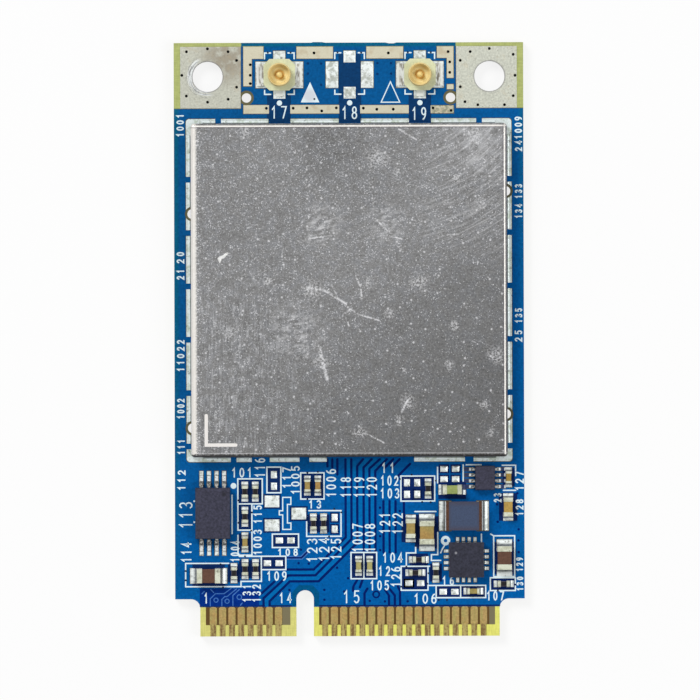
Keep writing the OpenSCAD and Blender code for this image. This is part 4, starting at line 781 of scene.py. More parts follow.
def terminal_finish():
    """The inductor's tinned ends: yellow by the core, white and streaked with dark arcs outside, with
    painted shade on their slopes.
    """
    tin = Finish("terminal_tin")
    middle = middle_of("inductor_terminals")
    half = box_of("inductor_terminals")[1].x - middle.x
    across = abs(tin.x - middle.x)
    along = tin.y - middle.y
    curve = tin.noise(1.0, 2, tin.join(across * 3 + along * along * 0.7, along * 0.7))
    grain = tin.noise(8, 2)
    outside = tin.ramp(across + along * along * 0.12, half - 0.3, half - 0.05)
    plain = tin.mix(outside, srgb(238, 214, 128), srgb(226, 238, 246))
    tone = tin.coat(
        tin.shade(plain, 0.84 + grain * 0.3),
        (tin.band(curve, 0.45, 0.49, 0.015) * 0.35, srgb(84, 90, 98)),
        # Painted shade on the slopes.
        (tin.fall(tin.up(), 0.4, 0.95) * 0.5, srgb(110, 108, 96)))
    return tin.surface(tone, 0.34 + grain * 0.14, tin.bump(grain, 0.006), 0.4)


class Sheet(Finish):
    """The can's tinned steel in the making, with the marks that it has."""

    def __init__(self, name):
        super().__init__(name)
        self.fine = self.noise(5.5, 3, rough=0.7)
        self.middle = self.noise(1.3, 4, rough=0.6)
        self.brushed = self.noise(1.0, 4, self.stretch(6, 0.5), 0.6)
        # The lower right is the cleanest and darkest part, and the lower left is brushed most.
        self.clean = self.ramp(self.x * 0.8 - self.y, -8.0, 16.0)
        self.left = self.fall(self.x, -12.0, 3.0) * self.fall(self.y, 0.0, 9.0)

    def light(self):
        """How light the bare sheet is: coarsely grained, with a dull place at the top."""
        dull = self.fall(self.reach(-2.0, 17.0), 1.0, 5.0)
        light = 0.97 - self.clean * 0.36 - dull * 0.13
        light = light + (self.fine - 0.5) * (1.7 - self.clean * 0.5)
        light = light + (self.middle - 0.5) * (0.6 - self.clean * 0.3)
        light = light + (self.brushed - 0.5) * (0.14 + self.left * 0.55)
        light = light + (self.noise(0.16, 3) - 0.5) * 0.3
        return self.most(light, 0.3)

    def clouds(self):
        """Rubbed clouds across the middle and left, and arcs and a haze at the upper right."""
        x, y = self.x, self.y
        rub = self.noise(1.0, 4, self.join(x * 1.1 + y * 0.5, y * 2.6 - x * 0.7), 0.6)
        near = sum(
            self.fall(self.reach(*place), inner, outer) * share
            for place, inner, outer, share in SHIELD_CLOUDS)
        brush = self.ramp(self.brushed, 0.46, 0.7) * self.ramp(self.middle, 0.4, 0.6) * self.left
        swing = self.join(self.reach(*ARC_CENTRE) * 4.6, self.turn(*ARC_CENTRE) * 5.0)
        arcs = self.ramp(self.noise(1.0, 5, swing, 0.7), 0.45, 0.72)
        arcs = arcs * self.ramp(x, 3.5, 9.5) * self.ramp(y, 5.5, 9.5)
        haze = self.fall(self.reach(11.0, 16.6), 0.3, 3.6) * self.ramp(self.middle, 0.32, 0.6)
        cloud = self.ramp(rub, 0.42, 0.72) * near * 0.55 + brush * 0.34
        return self.least(cloud + arcs * 0.42 + haze * 0.22, 0.8)

    def rubs(self):
        """Pale patches of wandering outline."""
        wander = (self.middle - 0.5) * 1.6
        patches = self.most(*(
            self.fall(self.reach(x, y) + wander, radius * 0.1, radius)
            for x, y, radius in SHIELD_RUBS))
        return patches * self.ramp(self.fine, 0.42, 0.6)

    def specks(self):
        """Irregular grains, thick at the left and thin at the lower right."""
        rim = self.fall(self.x - CAN_LOW.x, 0.45, 1.1)
        bare = 0.005 + self.clean * 0.045 - rim * 0.06
        dust = self.noise(8.5, 2, rough=0.75)
        return self.ramp(dust + (self.middle - 0.5) * 0.16 - bare, 0.58, 0.68)

    def blots(self):
        """A few larger specks."""
        far, chance = self.cells(0.9)
        return self.fall(far + (self.fine - 0.5) * 0.2, 0.02, 0.12) * (chance > 0.7)

    def scratch(self, start, end, width):
        """1 on a straight scratch, fading to 0 a little beyond its width."""
        run = Vector(end) - Vector(start)
        across = self.x - start[0]
        along = self.y - start[1]
        share = self.node("ShaderNodeMapRange", None, {
            "Value": across * (run.x / run.length_squared) + along * (run.y / run.length_squared),
            "From Max": 1.0})
        off = self.distance(across - share * run.x, along - share * run.y)
        return self.fall(off, 0.0, width * 1.15)

    def scratches(self):
        """All scratches, broken by the grain."""
        lines = self.most(*(self.scratch(*line) for line in SHIELD_SCRATCHES))
        return lines * self.ramp(self.fine + self.middle, 0.84, 1.12)

    def bends(self):
        """Painted highlights along the bends at the left, top and right, painted shade beside them,
        and painted shade along the foot.
        """
        left, right = self.x - CAN_LOW.x, self.x - CAN_HIGH.x
        foot, top = self.y - CAN_LOW.y, self.y - CAN_HIGH.y
        bend = self.ramp(self.z, CAN_HIGH.z - 0.5, CAN_HIGH.z - 0.34)
        # Painted shade along the can's foot, broken by the grain.
        painted_foot_shade = self.fall(foot + (self.fine - 0.5) * 0.45, 0.16, 0.28) * bend
        painted_bend_highlight = self.most(
            self.fall(left + (self.fine - 0.5) * 0.4, 0.36, 0.56),
            self.band(top, -0.3, -0.17), self.band(right, -0.25, -0.14))
        dark = self.most(
            self.band(top, -0.4, -0.32, 0.02), self.band(right, -0.36, -0.29, 0.02),
            self.ramp(right, -0.1, -0.04))
        return painted_bend_highlight * (1 - painted_foot_shade) * (0.4 + bend * 0.6), dark * bend, painted_foot_shade


def shield_finish(colours):
    """Tinned steel sheet: coarse grain and specks, brushing, clouds and arcs rubbed in by handling."""
    sheet = Sheet("shield_metal")
    tint = sheet.mix(sheet.ramp(sheet.middle, 0.42, 0.6), colours.steel, srgb(128, 129, 131))
    pale = srgb(224, 224, 226)
    specks = sheet.specks()
    painted_bend_highlight, dark, painted_foot_shade = sheet.bends()
    tone = sheet.coat(
        sheet.shade(tint, sheet.light()),
        (sheet.clouds(), pale),
        (sheet.rubs() * 0.6, pale),
        (specks * 0.9, pale),
        (sheet.blots() * 0.75, pale),
        (sheet.scratches() * 0.85, pale),
        # Painted highlights on the bends, painted shade beside them and along the foot.
        (painted_bend_highlight * 0.85, srgb(236, 232, 226)),
        (dark * 0.5, srgb(92, 84, 90)),
        (painted_foot_shade * 0.82, srgb(52, 48, 46)),
        # Painted highlight: pale grains along the lower bend.
        (sheet.band(sheet.y - CAN_LOW.y, 0.28, 0.36) * sheet.fine * 0.8, pale),
        (sheet.fall(sheet.z, 1.2, 2.3) * 0.35, srgb(120, 112, 96)))
    relief = sheet.fine + sheet.brushed * 0.6 + specks * 0.6
    return sheet.surface(tone, 0.36 + sheet.fine * 0.14, sheet.bump(relief, 0.004), 0.6)


def collar_place(finish):
    """Sideways, lengthways and straight distances from the middle of the nearer aerial collar."""
    first, second = (middle_of(name) for name in AERIAL_COLLARS)
    middle = (first.x + second.x) / 2
    across = abs(finish.x - middle) - (second.x - middle)
    along = finish.y - first.y
    return across, along, finish.distance(across, along)


def plastic_finish(colours):
    """Cream moulded plastic with faint flow marks, and a painted reflection of gold where it lies in
    the collar's cup.
    """
    body = Finish("connector_plastic")
    flow = body.noise(1.6, 3)
    grain = body.noise(9, 2)
    far = collar_place(body)[2]
    tone = body.shade(colours.plastic, 0.66 + flow * 0.36 + grain * 0.32)
    # Painted reflection of the gold collar on the plastic in its cup.
    tone = body.mix(body.fall(far, 0.68, 0.74), tone, srgb(236, 192, 112))
    return body.surface(tone, 0.42 + grain * 0.12, body.bump(grain, 0.004), specular=0.3)


def brass_finish(colours):
    """Gold-plated turned parts, dull and silvery where the feet are soldered."""
    brass = Finish("connector_gold")
    across, along, far = collar_place(brass)
    rings = brass.noise(1.0, 3, brass.join(far * 10, brass.z * 12))
    cloud = brass.noise(2.5, 3)
    streak = brass.noise(1.0, 3, brass.stretch(5, 1.6))
    # Painted shade: a darker crescent on the upper side of the cup.
    crescent = brass.band(far, 0.6, 0.84) * brass.ramp(along, 0.1, 0.6)
    # Darker streaks on the feet beside the insulator's sides.
    streaked_zone = brass.ramp(streak, 0.4, 0.6) * brass.band(abs(across), 1.3, 1.75, 0.08)
    silver = brass.mix(
        streaked_zone * 0.8, brass.shade(srgb(232, 234, 228), 0.8 + cloud * 0.36), srgb(118, 106, 86))
    tone = brass.coat(
        brass.shade(colours.brass, 0.86 + rings * 0.18 + cloud * 0.12),
        (brass.ramp(far, 0.8, 0.98) * 0.8, srgb(220, 194, 130)),
        # Painted shade round the collar's outer rim.
        (brass.band(far, 1.04, 1.1) * 0.6, srgb(140, 112, 66)),
        (crescent * 0.35, srgb(182, 152, 90)),
        (brass.fall(far, 0.12, 0.3) * 0.5, srgb(236, 196, 96)),
        (brass.band(far, 0.26, 0.4) * 0.5, srgb(192, 152, 80)),
        (brass.ramp(brass.most(abs(across), abs(along)), 1.3, 1.37), silver))
    return brass.surface(tone, 0.4 + rings * 0.12, brass.bump(rings, 0.004), 0.12, 0.3)


def resin_finish(name, colour, grain_scale=5, roughness=0.42, dots=()):
    """Moulded resin: fine grain over a soft cloud, with a painted highlight on the bevels and its dots
    at pin one.
    """
    resin = Finish(name)
    grain = resin.noise(grain_scale, 4, rough=0.7)
    cloud = resin.noise(0.9, 3)
    tone = resin.coat(
        resin.shade(colour, grain * 2.6 + cloud * 0.2 - 0.4),
        # Painted highlight on the bevels.
        (resin.band(resin.up(), 0.2, 0.97, 0.02) * 0.3, srgb(150, 142, 156)),
        *((resin.fall(resin.reach(x, y), radius * 0.5, radius) * 0.6, srgb(shade, shade, shade + 6))
          for x, y, radius, shade in dots))
    return resin.surface(tone, roughness + grain * 0.2, resin.bump(grain, 0.005), specular=0.2)


def slate_finish(colours):
    """Resin over the winding, browner towards the ends and with a soft shine."""
    resin = Finish("inductor_resin")
    middle = middle_of("inductor_cover")
    grain = resin.noise(10, 3)
    ends = resin.ramp(abs(resin.y - middle.y), 0.7, 1.2)
    sides = resin.ramp(abs(resin.x - middle.x), 1.0, 1.4)
    tone = resin.shade(colours.slate, 0.5 + grain)
    tone = resin.mix(resin.most(ends, sides) * 0.5, tone, srgb(64, 50, 56))
    return resin.surface(tone, 0.26 + grain * 0.15, resin.bump(grain, 0.006), specular=0.4)


def ceramic_finish(name, colour, other=None, patches=()):
    """Fired ceramic: speckled, here and there of another shade."""
    body = Finish(name)
    grain = body.noise(6, 3, rough=0.6)
    cloud = body.noise(1.8, 3)
    if other:
        colour = body.mix(body.ramp(body.noise(0.45, 1), 0.3, 0.7), colour, other)
    tone = body.coat(colour, *((body.patch(*area), srgb(*shade)) for area, shade in patches))
    tone = body.shade(tone, 0.34 + grain + cloud * 0.34)
    return body.surface(tone, 0.38 + grain * 0.2, body.bump(grain, 0.004), specular=0.25)


def floor_finish():
    """White paper: white to the eye and to reflections, matt to the light, with a soft shadow."""
    material = bpy.data.materials.new("floor")
    paper = Nodes(material)
    matt = paper.node("ShaderNodeBsdfDiffuse", None, {"Color": (0.9, 0.9, 0.9, 1.0)})
    glow = paper.node("ShaderNodeEmission", None, {"Color": (1.0, 1.0, 1.0, 1.0)})
    both = paper.node("ShaderNodeMixShader", None, {0: paper.seen() * 0.82, 1: matt, 2: glow})
    paper.node("ShaderNodeOutputMaterial", None, {"Surface": both}, None)
    return material


class Form:
    """Gathers closed forms, given in millimetres, and makes one piece of them."""

    def __init__(self, name):
        self.name = name
        self.mesh = bmesh.new()

    def corners(self, outline, height):
        return [self.mesh.verts.new((x * MM, y * MM, height * MM)) for x, y in outline]

    def walls(self, lower, upper):
        count = len(lower)
        for i in range(count):
            j = (i + 1) % count
            self.mesh.faces.new((lower[i], lower[j], upper[j], upper[i]))

    def slab(self, outline, low, high):
        """A flat closed form over an outline drawn anticlockwise."""
        lower = self.corners(outline, low)
        upper = self.corners(outline, high)
        self.walls(lower, upper)
        self.mesh.faces.new(upper)
        self.mesh.faces.new(lower[::-1])

    def frame(self, outer, inner, low, high):
        """A flat closed form between two outlines of as many corners."""
        lower, upper = self.corners(outer, low), self.corners(outer, high)
        inner_low, inner_high = self.corners(inner, low), self.corners(inner, high)
        self.walls(lower, upper)
        self.walls(inner_high, inner_low)
        self.walls(upper, inner_high)
        self.walls(inner_low, lower)

    def box(self, low_x, high_x, low_y, high_y, low, high):
        self.slab(rectangle(low_x, high_x, low_y, high_y), low, high)

    def disc(self, x, y, radius, low, high, count=18):
        self.slab(circle(x, y, radius, count), low, high)

    def ring(self, x, y, radius, inner, low, high, count=20):
        self.frame(circle(x, y, radius, count), circle(x, y, inner, count), low, high)

    def line(self, points, width, low, high, closed=False):
        """A drawn line of even width with round ends, or a closed one."""
        left, right = sides_of(points, width / 2, closed)
        if closed:
            self.frame(right, left, low, high)
            return
        end_arc = half_circle(points[-1], points[-2], width / 2)
        start_arc = half_circle(points[0], points[1], width / 2)
        outline = right + end_arc + left[::-1] + start_arc
        lower = self.corners(outline, low)
        upper = self.corners(outline, high)
        self.walls(lower, upper)
        # Faces as places in the outline: one for each stretch of the line, and one for each end.
        count = len(points)
        turn = count + len(end_arc)
        left_rows = [turn + count - 1 - i for i in range(count)]
        faces = [(i, i + 1, left_rows[i + 1], left_rows[i]) for i in range(count - 1)]
        faces.append(range(count - 1, turn + 1))
        faces.append([*range(turn + count - 1, len(outline)), 0])
        for face in faces:
            self.mesh.faces.new([upper[i] for i in face])
            self.mesh.faces.new([lower[i] for i in reversed(face)])

    def lines(self, rows, width, low, high):
        """Several drawn lines, with the tops of neighbours kept apart where they may cross."""
        for i, points in enumerate(rows):
            self.line(points, width, low, high + i % 5 * FILM_STEP)

    def build(self, finish):
        """Makes an object of all forms and gives it its finish."""
        data = bpy.data.meshes.new(self.name)
        self.mesh.to_mesh(data)
        self.mesh.free()
        data.materials.append(finish)
        made = bpy.data.objects.new(self.name, data)
        bpy.context.scene.collection.objects.link(made)
        return made

    def piece(self, finish):
        """Makes the piece and lets it ride on the card."""
        bmesh.ops.recalc_face_normals(self.mesh, faces=self.mesh.faces)
        made = self.build(finish)
        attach(made, "root")


def sides_of(points, reach, closed):
    """The lines to the left and right of a drawn line, with mitred corners."""
    left, right = [], []
    count = len(points)
    for i, point in enumerate(points):
        steps = []
        if i > 0 or closed:
            steps.append((Vector(point) - Vector(points[i - 1])).normalized())
        if i < count - 1 or closed:
            steps.append((Vector(points[(i + 1) % count]) - Vector(point)).normalized())
        heading = sum(steps, Vector((0.0, 0.0))).normalized()
        spread = reach / max(heading.dot(steps[0]), 0.4)
        side = Vector((-heading.y, heading.x)) * spread
        left.append((point[0] + side.x, point[1] + side.y))
        right.append((point[0] - side.x, point[1] - side.y))
    return left, right


def islands(name, welded=True):
    """The separate parts of a node's mesh, each as its lowest and highest corner.

    Corners at one place count as one. Unwelded, the mesh falls apart at its sharp edges.
    """
    mesh = NODES[name].data
    points = np.empty(len(mesh.vertices) * 3)
    mesh.vertices.foreach_get("co", points)
    points = points.reshape(-1, 3) / MM
    place = np.arange(len(points))
    if welded:
        place = np.unique(np.round(points, 5), axis=0, return_inverse=True)[1].reshape(-1)
    owner = list(range(len(points)))

    def top(i):
        while owner[i] != i:
            owner[i] = owner[owner[i]]
            i = owner[i]
        return i

    for edge in mesh.edges:
        first, second = (top(int(place[corner])) for corner in edge.vertices)
        owner[first] = second
    groups = {}
    for i, point in enumerate(points):
        groups.setdefault(top(int(place[i])), []).append(point)
    boxes = [(np.min(group, axis=0), np.max(group, axis=0)) for group in groups.values()]
    return sorted(boxes, key=lambda box: (round(box[0][0], 3), round(box[0][1], 3)))


def round_walls(name, narrow, wide):
    """Centres of a node's round upright walls whose width lies between two sizes."""
    found = set()
    for low, high in islands(name, welded=False):
        size = high - low
        if narrow <= min(size[:2]) and max(size[:2]) <= wide and size[2] > VIA_WALL:
            centre = (low + high) / 2
            found.add((round(float(centre[0]), 4), round(float(centre[1]), 4)))
    return sorted(found)


def dress(names, finish):
    """Gives CAD nodes a finish."""
    for name in names:
        data = NODES[name].data
        data.materials.clear()
        data.materials.append(finish)


class Card:
    """What every operator of this file shares."""

    bl_options = {"REGISTER", "UNDO"}

    def execute(self, context):
        """Makes the group. Anything that goes wrong is raised, and so stops the script."""
        self.make(context.scene.card_sizes, context.scene.card_colours)
        return {"FINISHED"}


class CARD_OT_board(Card, bpy.types.Operator):
    """Finishes the laminate and the solder mask, with its darker and edge zones"""

    bl_idname = "card.board"
    bl_label = "Board and mask"

    def make(self, sizes, colours):
        dress(["circuit_board"], laminate_finish(colours))
        blue = mask_finish("solder_mask", colours.mask_blue, colours.mask_teal)
        dress(["solder_mask_top", "solder_mask_bottom"], blue)
        dark = Form("mask_over_laminate")
        for area in NAVY_PATCHES:
            dark.box(*area, FILM_FOOT, NAVY_TOP)
        for i, area in enumerate(PRINTED_BOXES[:-1]):
            dark.box(*area, FILM_FOOT, BOXED_TOP + i * FILM_STEP / 2)
        zones = []
        for name in SMALL_PARTS:
            for low, high in islands(name):
                small = max(high[:2] - low[:2]) < SMALL_PART
                zones.append((low, high, SMALL_REACH if small else LARGE_REACH))
        zones += [(low, high, LAND_REACH) for low, high in islands("spare_lands")]
        for i, (low, high, reach) in enumerate(zones, 1):
            dark.box(
                low[0] - reach, high[0] + reach, low[1] - reach, high[1] + reach,
                FILM_FOOT, NAVY_TOP - i % 7 * FILM_STEP)
        for area in NAVY_FEET:
            dark.box(*area, FILM_FOOT, NAVY_TOP - 8 * FILM_STEP)
        navy = mask_finish("mask_over_laminate", colours.mask_navy, srgb(0, 70, 100))
        dark.piece(navy)
        key = Form("mask_round_key")
        x, y, radius = KEY_SLOT
        foot = KEY_PATCH[0][1]
        slot = [(x - radius, foot), *arc(x, y, radius, radius, 180, 0, 13), (x + radius, foot)]
        key.slab(KEY_PATCH + slot, FILM_FOOT, KEY_TOP)
        teal = mask_finish("mask_round_key", srgb(0, 84, 132), colours.mask_teal)
        key.piece(teal)


class CARD_OT_tracks(Card, bpy.types.Operator):
    """Lays the tracks that show through the mask, the gaps between them and the filled vias"""

    bl_idname = "card.tracks"
    bl_label = "Tracks and vias"

    def make(self, sizes, colours):
        gaps = Form("track_gaps")
        gaps.lines(TRACK_GAPS, sizes.gap_width / MM, FILM_FOOT, GAP_TOP)
        for x, y in POUR_DOTS:
            gaps.disc(x, y, POUR_DOT, FILM_FOOT, DOT_TOP, 10)
        gaps.ring(*POUR_RING, FILM_FOOT, DOT_TOP)
        gaps.piece(mask_finish("track_gap", srgb(2, 28, 98), colours.mask_navy))
        tracks = Form("tracks")
        tracks.lines(BRIGHT_TRACKS, sizes.track_width / MM, FILM_FOOT, TRACK_TOP)
        tracks.piece(mask_finish("track", colours.track_blue, colours.track_blue))
        zone = Form("fine_track_zone")
        zone.box(*FINE_ZONE, FILM_FOOT, ZONE_TOP)
        zone.piece(mask_finish("fine_track_gap", srgb(0, 44, 132), srgb(0, 60, 110)))
        fine = Form("fine_tracks")
        fine.lines(FINE_TRACKS, FINE_WIDTH, FILM_FOOT, FINE_TOP)
        for x, y, radius in FINE_RINGS:
            outer, inner = radius + FINE_WIDTH / 2, radius - FINE_WIDTH / 2
            fine.ring(x, y, outer, inner, FILM_FOOT, FINE_TOP)
        fine.piece(mask_finish("fine_track", srgb(70, 120, 190), srgb(70, 120, 170)))
        # Dark fills in the vias: the mask plug that closes each, with the deep shade inside the hole
        # painted into it.
        vias = Form("via_fills")
        for x, y in round_walls("circuit_board", *VIA_WIDTHS):
            vias.disc(x, y, VIA_FILL, VIA_LOW, VIA_HIGH, 12)
        vias.piece(resin_finish("via_fill", srgb(8, 14, 24)))


class CARD_OT_print(Card, bpy.types.Operator):
    """Prints the white outlines, dots, triangles and plain running numbers"""

    bl_idname = "card.print"
    bl_label = "Printed marks"

    def number(self, form, value, place, upwards, stroke_width, low, high):
        """One printed number, as tall and as long as its place says."""
        x, y, count, tall, whole = place
        width = min(DIGIT_SHAPE * tall, DIGIT_SHARE * whole / count) - stroke_width
        pitch = (whole - stroke_width - width) / max(count - 1, 1)
        for step, mark in enumerate(str(value)):
            start = step * pitch - (whole - stroke_width) / 2
            for stroke, drawn in enumerate(DIGITS[int(mark)]):
                closed = drawn[-1] is None
                points = []
                for point in drawn[:-1] if closed else drawn:
                    across = start + point[0] * width
                    up = (point[1] - 0.5) * (tall - stroke_width)
                    points.append((x - up, y + across) if upwards else (x + across, y + up))
                form.line(points, stroke_width, low, high + stroke * 2 * FILM_STEP, closed)

    def connector_marks(self, form, centre, width, low, high):
        """Four printed corners and a dot round the place of an aerial connector."""
        for side in (-1, 1):
            edge, inner = centre + side * BRACKET_EDGE, centre + side * BRACKET_END
            for bar, leg in BRACKET_ROWS:
                form.line([(edge, leg), (edge, bar), (inner, bar)], width, low, high)
        form.disc(centre, *BRACKET_DOT, low, high)

    def make(self, sizes, colours):
        low, high = PRINT_FOOT, MASK_TOP + sizes.print_height / MM
        width = sizes.print_width / MM
        ink = print_finish("print", colours.print_white)
        lines = Form("printed_lines")
        for i, area in enumerate(PRINTED_BOXES):
            lines.line(rectangle(*area), width, low, high + i * FILM_STEP, True)
        for i, points in enumerate(PRINTED_LINES, len(PRINTED_BOXES) + 1):
            lines.line(points, width, low, high + i * FILM_STEP)
        lines.line(TRANSISTOR_OUTLINE, width * THIN_OUTLINE, low, high, True)
        for centre in CONNECTOR_PLACES:
            self.connector_marks(lines, centre, width, low, high)
        for x, y, radius in PRINTED_DOTS:
            lines.disc(x, y, radius, low, high)
        lines.ring(*PRINTED_RING, low, high)
        lines.slab(FILLED_TRIANGLE, low, high)
        lines.line(OPEN_TRIANGLE, width * THIN_TRIANGLE, low, high, True)
        lines.piece(ink)
        numbers = Form("printed_numbers")
        # The next number to print, by how many digits it has.
        running = {1: 1, 2: 11, 3: 101, 4: 1001}
        for places, upwards in ((NUMBERS_ACROSS, False), (NUMBERS_UP, True)):
            for place in places:
                count = place[2]
                self.number(numbers, running[count], place, upwards, width, low, high)
                running[count] += 1
        numbers.piece(ink)
        dots = Form("print_dots")
        for x, y in PRINT_DOTS:
            dots.disc(x, y, PRINT_DOT, low, high + PRINT_DOT_LIFT, 10)
        dots.piece(resin_finish("print_dot", srgb(8, 20, 44)))


class CARD_OT_lands(Card, bpy.types.Operator):
    """Finishes the mounting lands, the ground strips and the soldered lands"""

    bl_idname = "card.lands"
    bl_label = "Lands and strips"

    def make(self, sizes, colours):
        dress(["mounting_land_left", "mounting_land_right"], land_finish(colours))
        dress(["ground_strips"], strip_finish(colours))
        dress(["spare_lands", "aerial_lands"], solder_finish("solder", colours.solder))
        frame_solder = solder_finish("frame_solder", srgb(222, 232, 232), srgb(176, 190, 168))
        dress(["shield_lands"], frame_solder)
        part_solder = solder_finish(
            "part_solder", colours.solder, srgb(160, 166, 160), covers=SWITCH_COVERS,
            cover=colours.mask_navy)
        dress(["component_lands"], part_solder)


class CARD_OT_contacts(Card, bpy.types.Operator):
    """Finishes the gold edge contacts on both sides"""

    bl_idname = "card.contacts"
    bl_label = "Edge contacts"

    def make(self, sizes, colours):
        dress(["edge_contacts_top", "edge_contacts_bottom"], contact_finish(colours))


class CARD_OT_shield(Card, bpy.types.Operator):
    """Finishes the shield can and adds its painted corner mark and a fleck of solder"""

    bl_idname = "card.shield"
    bl_label = "Shield can"

    def corner(self, form, side, end):
        """A folded corner of the can, squarer than the drawn one that it covers."""
        outer_x = (CAN_HIGH.x if side > 0 else -CAN_LOW.x) + CORNER_PROUD
        outer_y = (CAN_HIGH.y if end > 0 else -CAN_LOW.y) + CORNER_PROUD
        top = CAN_HIGH.z + CORNER_PROUD
        # How far each row of corners stands in from the walls, and its height.
        rows = [(0.0, MASK_TOP + CORNER_LIFT)]
        for turn in range(0, 91, 15):
            angle = math.radians(turn)
            rows.append((CAN_BEND * (1 - math.cos(angle)), top - CAN_BEND * (1 - math.sin(angle))))
        before = None
        for inset, height in rows:
            radius = max(CORNER_RADIUS - inset, CORNER_RADIUS / 10)
            x, y = outer_x - inset, outer_y - inset
            inner_x, inner_y = outer_x - CORNER_REACH, outer_y - CORNER_REACH
            outline = arc(x - radius, y - radius, radius, radius, 0, 90, 7)
            outline += [(inner_x, y), (inner_x, inner_y), (x, inner_y)]
            row = form.corners([(side * a, end * b) for a, b in outline], height)
            if before:
                form.walls(before, row)
            else:
                form.mesh.faces.new(row[::-1])
            before = row
        form.mesh.faces.new(before)

    def make(self, sizes, colours):
        sheet = shield_finish(colours)
        dress(["shield_can"], sheet)
        corners = Form("shield_corners")
        for side in (-1, 1):
            for end in (-1, 1):
                self.corner(corners, side, end)
        corners.piece(sheet)
        mark = Form("shield_corner_mark")
        mark.line(CAN_MARK, CAN_MARK_WIDTH, CAN_MARK_FOOT, CAN_MARK_TOP)
        mark.piece(print_finish("mark_paint", srgb(238, 234, 230)))
        fleck = Form("shield_fleck")
        fleck.slab(FLECK, CAN_MARK_FOOT, FLECK_TOP)
        fleck.piece(solder_finish("fleck", srgb(238, 238, 236), srgb(190, 190, 190)))


class CARD_OT_aerials(Card, bpy.types.Operator):
    """Finishes the two aerial connectors"""

    bl_idname = "card.aerials"
    bl_label = "Aerial connectors"

    def make(self, sizes, colours):
        dress(["aerial_1_insulator", "aerial_2_insulator"], plastic_finish(colours))
        dress([*AERIAL_COLLARS, "aerial_1_pin", "aerial_2_pin"], brass_finish(colours))


class CARD_OT_chips(Card, bpy.types.Operator):
    """Finishes the memory chip, the switch chip and the regulator"""

    bl_idname = "card.chips"
    bl_label = "Chips"

    def make(self, sizes, colours):
        plastic = resin_finish("chip_plastic", colours.resin, dots=MEMORY_DOTS)
        dress(["memory_chip_body", "switch_chip_body"], plastic)
        regulator = resin_finish("regulator_resin", srgb(46, 47, 60), dots=REGULATOR_DOTS)
        dress(["regulator_body"], regulator)
        dress(["memory_chip_leads", "switch_chip_leads", "regulator_pads"], lead_finish())


class CARD_OT_inductor(Card, bpy.types.Operator):
    """Finishes the power inductor"""

    bl_idname = "card.inductor"
    bl_label = "Inductor"

    def make(self, sizes, colours):
        dress(["inductor_core"], resin_finish("ferrite", colours.ferrite, 9, 0.5))
        coil = solder_finish("coil_copper", srgb(206, 140, 98), srgb(150, 96, 60))
        dress(["inductor_coil"], coil)
        dress(["inductor_cover"], slate_finish(colours))
        dress(["inductor_terminals"], terminal_finish())


class CARD_OT_chip_parts(Card, bpy.types.Operator):
    """Finishes the capacitors and resistors"""

    bl_idname = "card.chip_parts"
    bl_label = "Capacitors and resistors"

    def make(self, sizes, colours):
        brown = ceramic_finish("brown_ceramic", colours.brown)
        dress(["input_capacitor_body", "output_capacitor_body"], brown)
        tan = ceramic_finish("tan_ceramic", colours.tan, srgb(168, 134, 76), TAN_PATCHES)
        tan_bodies = ["filter_capacitor_body", "medium_capacitor_bodies", "small_capacitor_bodies"]
        dress(tan_bodies, tan)
        dress(["small_resistor_bodies"], resin_finish("resistor_glaze", colours.glaze, 7, 0.3))
        ends = solder_finish("end_cap", colours.tin, srgb(176, 178, 152), 0.48)
        dress([name for name in NODES if name.endswith("_ends")], ends)


class CARD_OT_inner(Card, bpy.types.Operator):
    """Finishes what stands under the shield can"""

    bl_idname = "card.inner"
    bl_label = "Parts under the can"

    def make(self, sizes, colours):
        dress(["radio_chip_body", "amplifier_bodies"], resin_finish("radio_resin", colours.resin))
        dress(["radio_chip_pads", "amplifier_pads"], solder_finish("pad_tin", colours.tin))
        dress(["inner_lands"], solder_finish("inner_solder", colours.solder))
        dress(["crystal_base"], ceramic_finish("crystal_ceramic", srgb(90, 88, 86)))
        lid = solder_finish("crystal_lid", colours.tin, srgb(150, 150, 148), 0.6)
        dress(["crystal_lid"], lid)
        dress(["inner_capacitor_bodies"], ceramic_finish("inner_ceramic", colours.tan))
        dress(["inner_filter_bodies"], ceramic_finish("filter_ceramic", srgb(168, 184, 196)))


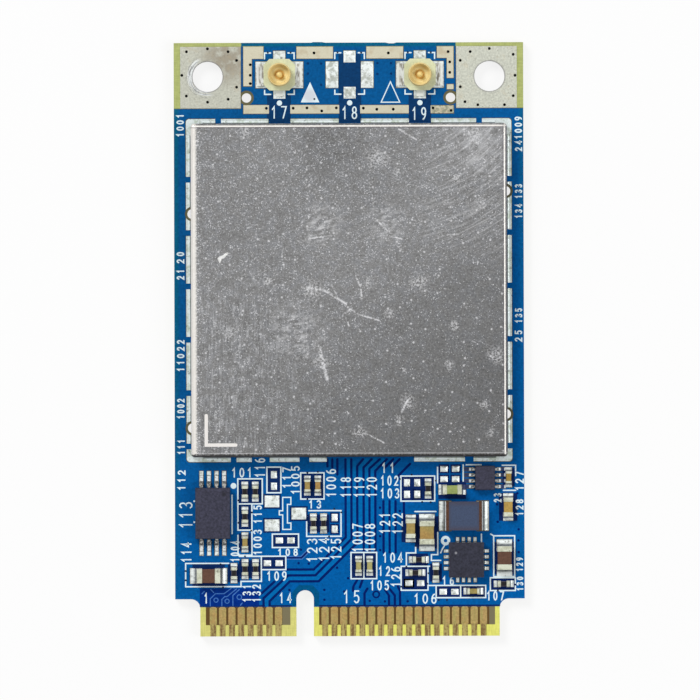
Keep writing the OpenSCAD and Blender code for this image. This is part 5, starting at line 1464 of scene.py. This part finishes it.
class CARD_OT_stage(Card, bpy.types.Operator):
    """Sets the floor, the lamps, the world and the camera"""

    bl_idname = "card.stage"
    bl_label = "Stage"

    def floor(self):
        form = Form("floor")
        sides = (-FLOOR_REACH, FLOOR_REACH, -FLOOR_REACH, FLOOR_REACH)
        form.mesh.faces.new(form.corners(rectangle(*sides), 0.0))
        form.build(floor_finish())

    def world(self):
        """Dim to matt surfaces, and at full strength to the eye, to metal and to glass."""
        made = bpy.data.worlds.new("studio")
        sky = Nodes(made)
        grey = (WORLD_GREY, WORLD_GREY, WORLD_GREY, 1.0)
        dim = sky.node("ShaderNodeBackground", None, {"Color": grey, "Strength": WORLD_LEVEL})
        full = sky.node("ShaderNodeBackground", None, {"Color": grey, "Strength": 1.0})
        both = sky.node("ShaderNodeMixShader", None, {0: sky.seen(), 1: dim, 2: full})
        sky.node("ShaderNodeOutputWorld", None, {"Surface": both}, None)
        bpy.context.scene.world = made

    def lamp(self, name, place, side, watts):
        """A square lamp that looks at the card."""
        light = bpy.data.lights.new(name, "AREA")
        light.shape = "SQUARE"
        light.size = side * MM
        light.energy = watts
        made = bpy.data.objects.new(name, light)
        made.location = Vector(place) * MM
        made.rotation_mode = "QUATERNION"
        made.rotation_quaternion = (-made.location).to_track_quat("-Z", "Y")
        bpy.context.scene.collection.objects.link(made)

    def camera(self, sizes):
        """Looks straight down from high above, at the photograph's scale."""
        lens = bpy.data.cameras.new("camera")
        lens.sensor_width = SENSOR_WIDTH
        lens.lens = SENSOR_WIDTH * sizes.view_distance / sizes.view_width
        lens.clip_start, lens.clip_end = VIEW_CLIP[0] * MM, VIEW_CLIP[1] * MM
        made = bpy.data.objects.new("camera", lens)
        made.location = Vector((*VIEW_CENTRE, VIEW_BASE)) * MM
        made.location.z += sizes.view_distance
        made.rotation_euler = (0.0, 0.0, math.radians(VIEW_ROLL))
        bpy.context.scene.collection.objects.link(made)
        bpy.context.scene.camera = made

    def make(self, sizes, colours):
        bpy.context.scene.view_settings.view_transform = "Standard"
        self.floor()
        self.world()
        for lamp in LAMPS:
            self.lamp(*lamp)
        self.camera(sizes)


MAKERS = (
    CARD_OT_board, CARD_OT_tracks, CARD_OT_print, CARD_OT_lands, CARD_OT_contacts, CARD_OT_shield,
    CARD_OT_aerials, CARD_OT_chips, CARD_OT_inductor, CARD_OT_chip_parts, CARD_OT_inner,
    CARD_OT_stage,
)


class CARD_PT_sidebar(bpy.types.Panel):
    """Lists the groups of the card and their sizes and colours"""

    bl_idname = "CARD_PT_sidebar"
    bl_label = "Wireless card"
    bl_space_type = "VIEW_3D"
    bl_region_type = "UI"
    bl_category = "Card"

    def draw(self, context):
        for maker in MAKERS:
            self.layout.operator(maker.bl_idname)
        for group in (context.scene.card_sizes, context.scene.card_colours):
            column = self.layout.column()
            for name in group.__annotations__:
                column.prop(group, name)


CLASSES = (CardSizes, CardColours, *MAKERS, CARD_PT_sidebar)


def register():
    for each in CLASSES:
        bpy.utils.register_class(each)
    bpy.types.Scene.card_sizes = PointerProperty(type=CardSizes)
    bpy.types.Scene.card_colours = PointerProperty(type=CardColours)


def unregister():
    del bpy.types.Scene.card_colours
    del bpy.types.Scene.card_sizes
    for each in reversed(CLASSES):
        bpy.utils.unregister_class(each)


def main():
    register()
    for maker in MAKERS:
        group, name = maker.bl_idname.split(".")
        getattr(getattr(bpy.ops, group), name)()


if __name__ == "__main__":
    main()
